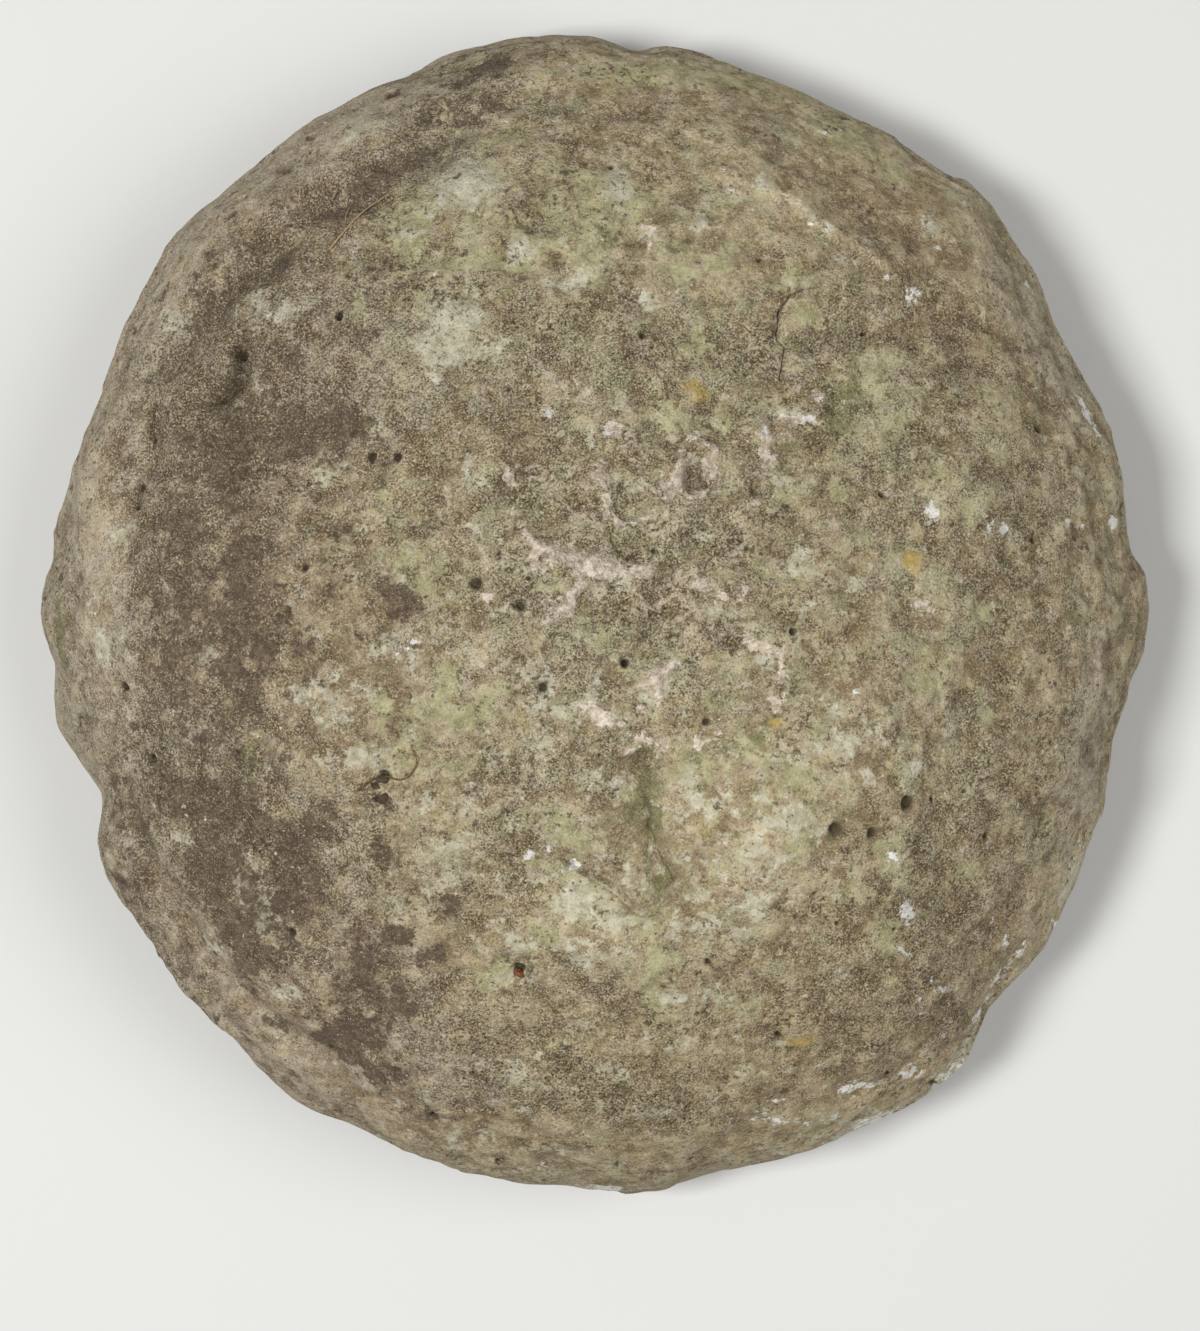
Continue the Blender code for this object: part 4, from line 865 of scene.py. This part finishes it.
DARK_MOTTLE = (0.41, 0.35, 0.25)
PALE_MOTTLE = (0.74, 0.69, 0.575)
BROWN_FLOOR = (0.46, 0.40, 0.29)
GREEN_FLOOR = (0.62, 0.625, 0.49)
HOLLOW_DIRT_AND_SHADE = (0.40, 0.335, 0.24)
PAINTED_CREST_HIGHLIGHT = (0.735, 0.675, 0.56)
RING_SHADE = (0.38, 0.32, 0.23)
BASIN_BORDER = (0.73, 0.675, 0.60)
RUBBED_STONE = (0.665, 0.61, 0.52)
RIM_DUST_AND_LIGHT = (0.74, 0.695, 0.605)
LAYER_LINE = (0.40, 0.35, 0.27)
MUD_STAIN = (0.40, 0.34, 0.27)
PALE_GRAIN = (0.78, 0.725, 0.62)
DARK_GAP = (0.30, 0.25, 0.175)
PORE_WALL = (0.74, 0.68, 0.54)
DARK_PORE = (0.27, 0.22, 0.145)
DARK_SPECK = (0.27, 0.23, 0.155)
BRIGHT_SPECK = (0.82, 0.79, 0.72)
OCHRE_SPOT = (0.70, 0.595, 0.325)
CHALK_MARK = (0.87, 0.865, 0.84)
HOLE_SHADE = (0.24, 0.20, 0.135)
SAWN_SPECKLE = (0.42, 0.38, 0.31)
FLOOR_TINT = (0.80, 0.80, 0.79)

# Widths of what is drawn by noise: the cells' grains, the open pores, and one line of growth
GRAIN_WIDTH = 0.0005
PORE_WIDTH = 0.00105
LINE_SPACING = 0.0023
# How deep the bump of the skin reaches, and how strong it is
SKIN_BUMP = 0.0007
BUMP_STRENGTH = 0.9


# ---------------------------------------------------------------- finishes

def colour(red, green, blue):
    """A colour as a screen shows it, turned into light."""
    light = [c / 12.92 if c <= 0.04045 else ((c + 0.055) / 1.055) ** 2.4 for c in (red, green, blue)]
    return (*light, 1.0)


class Finish:
    """A material being put together from nodes."""

    def __init__(self, name, roughness=0.9):
        self.material = bpy.data.materials.new(name)
        self.material.use_nodes = True
        self.tree = self.material.node_tree
        self.shader = self.tree.nodes["Principled BSDF"]
        self.shader.inputs["Roughness"].default_value = roughness
        self.shader.inputs["Specular IOR Level"].default_value = 0.25
        self.place = self.tree.nodes.new("ShaderNodeTexCoord").outputs["Object"]

    def put(self, socket, value):
        """Joins a node's output to a socket, or sets a number or a tint on it."""
        if isinstance(value, bpy.types.NodeSocket):
            self.tree.links.new(value, socket)
        else:
            socket.default_value = colour(*value) if isinstance(value, tuple) else value

    def field(self, name):
        """One of the numbers kept on the mesh's points."""
        node = self.tree.nodes.new("ShaderNodeAttribute")
        node.attribute_name = name
        return node.outputs["Fac"]

    def maths(self, operation, *values):
        """One operation on numbers."""
        node = self.tree.nodes.new("ShaderNodeMath")
        node.operation = operation
        for socket, value in zip(node.inputs, values):
            self.put(socket, value)
        return node.outputs[0]

    def times(self, first, second):
        """Two numbers multiplied."""
        return self.maths("MULTIPLY", first, second)

    def scaled(self, value, by, plus):
        """A number multiplied by a second one, plus a third."""
        return self.maths("MULTIPLY_ADD", value, by, plus)

    def vector(self, operation, first):
        """A node for one operation on a place, with its first input set."""
        node = self.tree.nodes.new("ShaderNodeVectorMath")
        node.operation = operation
        self.put(node.inputs[0], first)
        return node

    def noise_node(self, size, detail, rough, place=None):
        """A node of cloudy noise whose largest lumps are about as wide as size."""
        node = self.tree.nodes.new("ShaderNodeTexNoise")
        self.put(node.inputs["Vector"], place or self.place)
        node.inputs["Scale"].default_value = 1.0 / size
        node.inputs["Detail"].default_value = detail
        node.inputs["Roughness"].default_value = rough
        return node

    def noise(self, size, detail, rough, place=None):
        """Cloudy noise as a number."""
        return self.noise_node(size, detail, rough, place).outputs["Fac"]

    def cells(self, size, place):
        """Distance from the middle of round cells as wide as size, with each cell's own number."""
        node = self.tree.nodes.new("ShaderNodeTexVoronoi")
        self.put(node.inputs["Vector"], place)
        node.inputs["Scale"].default_value = 1.0 / size
        split = self.tree.nodes.new("ShaderNodeSeparateColor")
        self.put(split.inputs[0], node.outputs["Color"])
        return node.outputs["Distance"], split.outputs["Red"]

    def moved(self, by, place=None):
        """The same place shifted by a fixed amount, so that a noise isn't repeated."""
        node = self.vector("ADD", place or self.place)
        node.inputs[1].default_value = (by, 2.0 * by, -by)
        return node.outputs[0]

    def stirred(self, size, amount):
        """The place pushed about by a noise, so that patches get ragged edges."""
        push = self.vector("SUBTRACT", self.noise_node(size, 3.0, 0.6).outputs["Color"])
        push.inputs[1].default_value = (0.5, 0.5, 0.5)
        scaled = self.vector("SCALE", push.outputs[0])
        scaled.inputs["Scale"].default_value = amount
        total = self.vector("ADD", self.place)
        self.put(total.inputs[1], scaled.outputs[0])
        return total.outputs[0]

    def rise(self, value, low, high, top=1.0):
        """0 below low, top above high, and smooth between them."""
        node = self.tree.nodes.new("ShaderNodeMapRange")
        node.interpolation_type = "SMOOTHSTEP"
        self.put(node.inputs["Value"], value)
        node.inputs["From Min"].default_value = low
        node.inputs["From Max"].default_value = high
        node.inputs["To Max"].default_value = top
        return node.outputs["Result"]

    def ragged(self, field, size, low, high, amount, top=1.0, detail=5.0, rough=0.65, by=0.0):
        """A patch with a ragged edge: its field and a noise together, above a level."""
        swing = self.scaled(self.noise(size, detail, rough, self.moved(by)), amount, -0.5 * amount)
        return self.rise(self.maths("ADD", field, swing), low, high, top)

    def film(self, below, name):
        """Lays a patchy film of two tints over a colour. Gives the new colour and the film's share."""
        size, dark, light, low, high, amount, top, by = FILMS[name]
        share = self.ragged(self.field(name), size, low, high, amount, top, detail=6.0, rough=0.76, by=by)
        mottle = self.noise(0.6 * size, 5.0, 0.75, self.moved(by + 0.37))
        return self.mix(share, below, self.ramp(mottle, (0.38, dark), (0.62, light))), share

    def height(self):
        """The place's height above the floor."""
        node = self.tree.nodes.new("ShaderNodeSeparateXYZ")
        self.put(node.inputs[0], self.place)
        return node.outputs["Z"]

    def mix(self, share, below, above):
        """A share of one colour laid over another."""
        node = self.tree.nodes.new("ShaderNodeMix")
        node.data_type = "RGBA"
        self.put(node.inputs[0], share)
        self.put(node.inputs[6], below)
        self.put(node.inputs[7], above)
        return node.outputs[2]

    def ramp(self, value, *stops):
        """A colour that runs through stops of a position and a tint."""
        node = self.tree.nodes.new("ShaderNodeValToRGB")
        elements = node.color_ramp.elements
        elements[0].position = stops[0][0]
        elements[0].color = colour(*stops[0][1])
        elements[1].position = stops[-1][0]
        elements[1].color = colour(*stops[-1][1])
        for position, tint in stops[1:-1]:
            elements.new(position).color = colour(*tint)
        self.put(node.inputs[0], value)
        return node.outputs["Color"]

    def bump(self, height, distance, strength, normal=None):
        """Which way the skin faces once a height is added to it, over an earlier bump if there is one."""
        node = self.tree.nodes.new("ShaderNodeBump")
        self.put(node.inputs["Strength"], strength)
        node.inputs["Distance"].default_value = distance
        self.put(node.inputs["Height"], height)
        if normal is not None:
            self.put(node.inputs["Normal"], normal)
        return node.outputs[0]

    def done(self, base, normal=None):
        """The finished material, with its colour and its bump joined to the shader."""
        self.put(self.shader.inputs["Base Color"], base)
        if normal is not None:
            self.put(self.shader.inputs["Normal"], normal)
        return self.material


def bare_stone(skin, uneven):
    """The stone's broad tones, drifts of colour, pale dusting that is partly painted light, brown stains
    that are partly painted shade, and a finer mottling.
    """
    stirred = skin.stirred(0.008, 0.006)
    stone = skin.ramp(skin.noise(0.014, 7.0, 0.72, stirred), *STONE_TONES)
    for by, size, low, high, top, tint in DRIFTS:
        drift = skin.rise(skin.noise(size, 5.0, 0.68, skin.moved(by, stirred)), low, high, top)
        stone = skin.mix(drift, stone, tint)
    for name in ("sandy", "dust_and_light", "brown"):
        stone, _ = skin.film(stone, name)
    fine = skin.noise(0.0032, 5.0, 0.75, skin.moved(8.3))
    stone = skin.mix(skin.times(skin.rise(fine, 0.48, 0.36, 0.65), uneven), stone, DARK_MOTTLE)
    return skin.mix(skin.times(skin.rise(fine, 0.52, 0.64, 0.7), uneven), stone, PALE_MOTTLE)


def relief_tones(skin, stone):
    """Brown and green floors of basins, dirt and painted shade in hollows and rings, and painted highlights
    on crests.
    """
    tone = skin.field("tone")
    stone = skin.mix(skin.rise(tone, -0.06, -0.25, 0.6), stone, BROWN_FLOOR)
    stone = skin.mix(skin.rise(tone, 0.06, 0.25, 0.55), stone, GREEN_FLOOR)
    hollow = skin.field("hollow")
    # Painted shade, with some dirt, darkens the hollows
    dirt = skin.ragged(hollow, 0.003, 0.05, 0.65, amount=2.4, top=0.5, by=7.7)
    stone = skin.mix(dirt, stone, HOLLOW_DIRT_AND_SHADE)
    # Raised ground is painted paler, as a painted highlight
    crest_highlight = skin.ragged(skin.times(hollow, -1.0), 0.003, 0.08, 0.60, amount=2.4, top=0.38, by=9.7)
    stone = skin.mix(crest_highlight, stone, PAINTED_CREST_HIGHLIGHT)
    # Painted shade at the foot of each bowl's wall
    ring = skin.ragged(skin.field("ring"), 0.003, 0.40, 1.00, amount=2.4, top=0.75, by=10.3)
    return skin.mix(ring, stone, RING_SHADE)


def rim_tones(skin, stone):
    """The rim, rubbed smooth and sandy, with dust and painted light at its edge. Gives the colour, and the
    lines where thin layers end.
    """
    reach = skin.field("reach")
    rubbed = skin.ragged(skin.rise(reach, 0.84, 1.0), 0.012, 0.40, 0.80, amount=1.6, top=0.7, by=5.7)
    stone = skin.mix(rubbed, stone, RUBBED_STONE)
    # The edge of the rim is painted paler: dust, and painted light
    stone = skin.mix(skin.rise(reach, 0.94, 1.0, 0.45), stone, RIM_DUST_AND_LIGHT)
    level = skin.scaled(skin.height(), 1.0 / LINE_SPACING, skin.times(skin.noise(0.03, 5.0, 0.6), 9.0))
    line = skin.rise(skin.maths("PINGPONG", level, 0.5), 0.16, 0.02)
    line = skin.times(line, skin.rise(reach, 0.84, 0.97))
    line = skin.times(line, skin.rise(skin.noise(0.010, 5.0, 0.7, skin.moved(9.1)), 0.44, 0.60))
    return skin.mix(skin.times(line, 0.6), stone, LAYER_LINE), line


def mud_shares(skin):
    """How much each place is stained by mud, and how much it is covered by it."""
    gathering = skin.scaled(skin.noise(0.011, 4.0, 0.65, skin.moved(14.3)), 2.0, -1.0)
    muddy = skin.maths("ADD", skin.field("mud"), gathering)
    stain = skin.ragged(muddy, 0.007, 0.20, 0.80, amount=2.7, top=0.50, detail=6.0, rough=0.78, by=1.9)
    cover = skin.ragged(muddy, 0.005, 0.42, 0.68, amount=3.6, top=0.95, detail=6.0, rough=0.80, by=1.1)
    return stain, cover


def grains(skin, film, mud):
    """The cells: dark gaps, the pale grains between them, and how clearly both show."""
    clumps = skin.noise(0.0024, 4.0, 0.65, skin.moved(4.9))
    crumb = skin.scaled(clumps, 0.18, skin.noise(GRAIN_WIDTH, 3.0, 0.65, skin.moved(3.7)))
    crumb = skin.maths("SUBTRACT", crumb, 0.09)
    bare = skin.times(skin.scaled(film, -0.65, 1.0), skin.scaled(mud, -0.60, 1.0))
    bare = skin.times(bare, skin.scaled(skin.field("smooth"), -0.35, 1.0))
    showing = skin.ragged(skin.field("cells"), 0.006, 0.15, 0.90, amount=3.0, by=2.9)
    contrast = skin.times(bare, skin.scaled(showing, 0.60, 0.40))
    return skin.rise(crumb, 0.475, 0.395), skin.rise(crumb, 0.52, 0.60), contrast


def open_pores(skin, stone):
    """Small open pores in pale walls."""
    pore, own = skin.cells(PORE_WIDTH, skin.stirred(0.002, 0.0006))
    here = skin.ragged(skin.field("pores"), 0.005, 0.35, 0.75, amount=2.6, by=13.7)
    here = skin.times(here, skin.rise(own, 0.15, 0.55))
    wall = skin.times(skin.rise(pore, 0.50, 0.75), skin.times(here, 0.5))
    stone = skin.mix(wall, stone, PORE_WALL)
    inside = skin.times(skin.rise(pore, 0.42, 0.20), here)
    return skin.mix(skin.times(inside, 0.85), stone, DARK_PORE)


def specks(skin, stone, pale):
    """Dark specks that gather here and there, and a few bright ones."""
    gathered = skin.scaled(skin.noise(0.015, 3.0, 0.6, skin.moved(8.8)), 0.5, -0.25)
    speck = skin.maths("ADD", skin.noise(0.0014, 3.0, 0.6, skin.moved(7.9)), gathered)
    speck = skin.scaled(pale, 0.04, speck)
    stone = skin.mix(skin.rise(speck, 0.61, 0.71, 0.75), stone, DARK_SPECK)
    glint = skin.noise(0.0011, 2.0, 0.5, skin.moved(11.3))
    return skin.mix(skin.rise(glint, 0.69, 0.76, 0.6), stone, BRIGHT_SPECK)


def top_marks(skin, stone):
    """Worn ridges, ochre spots, chalky marks and the dark insides of holes."""
    worn = skin.ragged(skin.field("wear"), 0.0026, 0.44, 0.74, amount=3.3, top=0.92, rough=0.7, by=4.1)
    stone = skin.mix(worn, stone, skin.ramp(skin.noise(0.002, 4.0, 0.7, skin.moved(6.6)), *WORN_TONES))
    ochre = skin.ragged(skin.field("ochre"), 0.004, 0.40, 0.90, amount=2.2, top=0.7)
    stone = skin.mix(ochre, stone, OCHRE_SPOT)
    chalk = skin.ragged(skin.field("chalk"), 0.0022, 0.50, 0.80, amount=3.3, top=0.9, rough=0.75, by=5.3)
    stone = skin.mix(chalk, stone, CHALK_MARK)
    return skin.mix(skin.rise(skin.field("hole"), 0.15, 0.95, 0.85), stone, HOLE_SHADE)


def weathered_skin():
    """Granular limestone under films of algae, with mud in its hollows and chalky scars."""
    skin = Finish("weathered limestone skin")
    uneven = skin.scaled(skin.field("smooth"), -0.6, 1.0)
    stone = relief_tones(skin, bare_stone(skin, uneven))

    # Films that fill the grain, and the pale borders of basins over them
    stone, green = skin.film(stone, "green")
    stone, _ = skin.film(stone, "olive")
    stone, pale = skin.film(stone, "pale")
    border = skin.ragged(skin.field("border"), 0.003, 0.30, 0.90, amount=2.2, top=0.75, by=6.1)
    stone = skin.mix(border, stone, BASIN_BORDER)
    stone, line = rim_tones(skin, stone)

    # Mud, and the bare cells, which show less under mud and films
    stain, mud = mud_shares(skin)
    film = skin.maths("MAXIMUM", skin.maths("MAXIMUM", green, pale), border)
    gaps, crumbs, contrast = grains(skin, film, mud)
    stone = skin.mix(stain, stone, MUD_STAIN)
    stone = skin.mix(mud, stone, skin.ramp(skin.noise(0.003, 5.0, 0.8), *MUD_TONES))
    stone = skin.mix(skin.times(skin.times(crumbs, contrast), 0.65), stone, PALE_GRAIN)
    stone = skin.mix(skin.times(skin.times(gaps, contrast), 0.8), stone, DARK_GAP)
    stone = specks(skin, open_pores(skin, stone), pale)
    stone = top_marks(skin, stone)

    # Lumps and the lines of layers as bump, then the cells on top
    lumpy = skin.times(skin.noise(0.004, 6.0, 0.75), 1.8)
    lumpy = skin.scaled(skin.noise(0.0014, 3.0, 0.6, skin.moved(12.1)), 1.1, lumpy)
    lumpy = skin.scaled(line, -0.6, lumpy)
    normal = skin.bump(lumpy, SKIN_BUMP, skin.times(uneven, BUMP_STRENGTH))
    granular = skin.scaled(gaps, -0.7, skin.times(crumbs, 0.3))
    strength = skin.times(skin.times(uneven, contrast), BUMP_STRENGTH)
    return skin.done(stone, skin.bump(granular, SKIN_BUMP, strength, normal))


def sawn_face():
    """The flat base, sawn through the growth layers, which show as rings."""
    face = Finish("sawn limestone face", roughness=0.75)
    ring = face.tree.nodes.new("ShaderNodeTexWave")
    ring.wave_type = "RINGS"
    ring.rings_direction = "Z"
    face.put(ring.inputs["Vector"], face.stirred(0.03, 0.01))
    ring.inputs["Scale"].default_value = 60.0
    ring.inputs["Distortion"].default_value = 3.0
    ring.inputs["Detail"].default_value = 4.0
    ring.inputs["Detail Scale"].default_value = 2.0
    tone = face.ramp(ring.outputs["Fac"], *SAWN_TONES)
    speckle = face.noise(0.0015, 3.0, 0.6)
    tone = face.mix(face.rise(speckle, 0.45, 0.3, 0.5), tone, SAWN_SPECKLE)
    return face.done(tone, face.bump(speckle, 0.0001, 0.5))


def plant_skin(name, dark, light, roughness=0.7):
    """Dry plant skin, finely mottled between two tints."""
    plant = Finish(name, roughness)
    mottle = plant.noise(0.0006, 4.0, 0.7)
    return plant.done(plant.ramp(mottle, (0.35, dark), (0.65, light)), plant.bump(mottle, 0.0001, 0.6))


# ---------------------------------------------------------------- plant debris

# Stems that lie on the skin: points as x, y and lift above the skin, in millimetres
STALK = (
    (-66, 89, 0.0), (-62.5, 93, 0.3), (-59, 96.5, 0.6), (-56, 99.5, 0.5), (-53, 102, 0.1),
    (-51.5, 103.5, 0.0),
)
STALK_FORK = (
    (-62, 93.5, 0.3), (-61.8, 97, 0.7), (-61, 100, 0.3),
)
ROOTLET = (
    (-57.5, -43.5, 0.1), (-55, -41.5, 0.3), (-51, -41, 1.0), (-48, -41, 0.5), (-45.5, -40.2, 0.2),
    (-43.6, -38, 0.5), (-43.2, -35.6, 0.9), (-44.4, -33.6, 0.4),
)
FIBRE = (
    (-86, -48.5, 0.1), (-84, -50.5, 0.4), (-82.5, -53.5, 0.2), (-81.5, -55, 0.0),
)
STEM_SIDES = 8
STEM_STEPS = 4

# Lumps that sit on the skin, in millimetres: x, y, lift, size, turn in degrees, and roughness
DIRT_CLODS = (
    (-51.5, -41.3, 0.4, (4.4, 2.6, 1.8), 25, 0.5),
    (-53.6, -42.6, 0.2, (2.2, 1.6, 1.0), 60, 0.5),
    (-51.6, -45.5, 0.1, (1.8, 3.2, 0.9), -20, 0.6),
)
SEED_CHIP = (-19.3, -88.7, 0.7, (3.3, 1.9, 1.2), -48, 0.25)

STRAW = ((0.45, 0.38, 0.27), (0.66, 0.58, 0.44))
BARK = ((0.27, 0.20, 0.12), (0.50, 0.37, 0.22))
CAKED_DIRT = ((0.20, 0.16, 0.12), (0.36, 0.30, 0.23))
SEED_COAT = ((0.26, 0.14, 0.08), (0.52, 0.32, 0.19))
GREY_FIBRE = ((0.42, 0.37, 0.29), (0.60, 0.54, 0.44))


def placed(name, data):
    """A new object in the scene."""
    thing = bpy.data.objects.new(name, data)
    bpy.context.scene.collection.objects.link(thing)
    return thing


def on_skin(x, y, lift):
    """The place above the skin at a point in plan, in millimetres, and the way out of the skin there."""
    place, normal, _, _ = skin_tree.ray_cast(Vector((x * MM, y * MM, 1.0)), Vector((0.0, 0.0, -1.0)))
    return place + normal * lift * MM, normal


def smooth_line(points):
    """A smooth line through points, with more points between them."""
    ends = [2.0 * points[0] - points[1], *points, 2.0 * points[-1] - points[-2]]
    line = []
    for before, start, end, after in zip(ends, ends[1:], ends[2:], ends[3:]):
        for step in range(STEM_STEPS):
            t = step / STEM_STEPS
            line.append(0.5 * (2.0 * start + (end - before) * t
                               + (2.0 * before - 5.0 * start + 4.0 * end - after) * t ** 2
                               + (3.0 * start - before - 3.0 * end + after) * t ** 3))
    return line + [points[-1]]


def add_stem(net, points, thick, thin):
    """Adds a closed round stem that lies on the skin, from its thick end to its thin one, in millimetres."""
    line = smooth_line([on_skin(x, y, lift + 0.4 * thick)[0] for x, y, lift in points])
    last = len(line) - 1
    rings = []
    for k, place in enumerate(line):
        along = line[min(k + 1, last)] - line[max(k - 1, 0)]
        knotty = 1.0 + 0.25 * noise.noise(place / (1.3 * MM))
        radius = 0.5 * MM * (thick + (thin - thick) * k / last) * knotty
        turn = Matrix.Translation(place) @ along.to_track_quat("Z", "Y").to_matrix().to_4x4()
        ring = bmesh.ops.create_circle(net, cap_ends=k in (0, last), segments=STEM_SIDES,
                                       radius=radius, matrix=turn)["verts"]
        rings.append(list({edge for vert in ring for edge in vert.link_edges}))
    for near, far in zip(rings, rings[1:]):
        bmesh.ops.bridge_loops(net, edges=near + far)


def add_clod(net, x, y, lift, size, turn, rough):
    """Adds an uneven lump that sits on the skin. Its size is in millimetres."""
    place, normal = on_skin(x, y, lift)
    facing = normal.to_track_quat("Z", "Y").to_matrix() @ Matrix.Rotation(math.radians(turn), 3, "Z")
    for vert in bmesh.ops.create_icosphere(net, subdivisions=3, radius=0.5 * MM)["verts"]:
        way = vert.co.normalized()
        swell = 1.0 + rough * noise.noise(way * 1.7 + place / MM) + 0.5 * rough * noise.noise(way * 4.0)
        vert.co = place + facing @ Vector([swell * c * s for c, s in zip(vert.co, size)])


def debris(name, net, finish):
    """Makes a finished piece of debris from a mesh."""
    bmesh.ops.recalc_face_normals(net, faces=net.faces)
    for face in net.faces:
        face.smooth = True
    piece = placed(name, bpy.data.meshes.new(name))
    net.to_mesh(piece.data)
    net.free()
    piece.data.materials.append(finish)
    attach(piece, "root")


# ---------------------------------------------------------------- the fossil

noise.seed_set(WANDER_SEED)
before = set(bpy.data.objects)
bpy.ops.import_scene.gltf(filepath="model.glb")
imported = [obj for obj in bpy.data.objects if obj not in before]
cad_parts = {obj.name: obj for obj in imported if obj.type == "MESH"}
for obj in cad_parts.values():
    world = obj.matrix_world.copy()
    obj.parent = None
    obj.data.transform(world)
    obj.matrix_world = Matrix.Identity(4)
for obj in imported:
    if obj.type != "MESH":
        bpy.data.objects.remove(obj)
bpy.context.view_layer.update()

skin = placed("fossil_skin", fossil_skin())
skin.data.materials.append(weathered_skin())
skin.data.materials.append(sawn_face())
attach(skin, "root")
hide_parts(NODE)

skin_tree = BVHTree.FromPolygons([vert.co for vert in skin.data.vertices],
                                 [face.vertices for face in skin.data.polygons])
stalk = bmesh.new()
add_stem(stalk, STALK, 0.6, 0.25)
add_stem(stalk, STALK_FORK, 0.3, 0.15)
debris("dry_stalk", stalk, plant_skin("dry straw stalk", *STRAW))

rootlet = bmesh.new()
add_stem(rootlet, ROOTLET, 0.5, 0.3)
debris("curled_rootlet", rootlet, plant_skin("brown rootlet bark", *BARK))

dirt = bmesh.new()
for clod in DIRT_CLODS:
    add_clod(dirt, *clod)
debris("dirt_clod", dirt, plant_skin("caked dirt", *CAKED_DIRT, roughness=0.95))

seed = bmesh.new()
add_clod(seed, *SEED_CHIP)
debris("seed_chip", seed, plant_skin("seed coat", *SEED_COAT, roughness=0.5))

fibre = bmesh.new()
add_stem(fibre, FIBRE, 0.3, 0.2)
debris("thin_fibre", fibre, plant_skin("grey fibre", *GREY_FIBRE))

# ---------------------------------------------------------------- floor, light and camera

FLOOR_REACH = 8.0
# The lamps aim at the fossil's middle. Each has a place, a width and a power.
LIGHT_AIM = Vector((0.0, 0.0, 0.05))
SOFT_KEY = ((-0.66, -0.08, 1.45), 0.4, 22.0)
SOFT_FILL = ((0.9, -0.05, 1.3), 1.0, 12.0)
WORLD_STRENGTH = 0.215
SENSOR_WIDTH = 36.0
LENS = 102.0
CAMERA_PLACE = (0.00065, -0.0135, 1.0)


def area_light(name, place, size, power):
    """Adds a square lamp aimed at the fossil."""
    light = bpy.data.lights.new(name, "AREA")
    light.size = size
    light.energy = power
    lamp = placed(name, light)
    lamp.location = place
    lamp.rotation_euler = (LIGHT_AIM - Vector(place)).to_track_quat("-Z", "Y").to_euler()


floor_net = bmesh.new()
bmesh.ops.create_grid(floor_net, x_segments=1, y_segments=1, size=FLOOR_REACH)
floor = placed("floor", bpy.data.meshes.new("floor"))
floor_net.to_mesh(floor.data)
floor_net.free()
floor.data.materials.append(Finish("plain pale floor", roughness=0.8).done(FLOOR_TINT))

area_light("soft key", *SOFT_KEY)
area_light("soft fill", *SOFT_FILL)

world = bpy.data.worlds.new("studio")
bpy.context.scene.world = world
world.use_nodes = True
world.node_tree.nodes["Background"].inputs["Color"].default_value = (1.0, 1.0, 1.0, 1.0)
world.node_tree.nodes["Background"].inputs["Strength"].default_value = WORLD_STRENGTH

camera_data = bpy.data.cameras.new("camera")
camera_data.sensor_width = SENSOR_WIDTH
camera_data.lens = LENS
camera = placed("camera", camera_data)
camera.location = CAMERA_PLACE
bpy.context.scene.camera = camera
bpy.context.scene.view_settings.view_transform = "Standard"
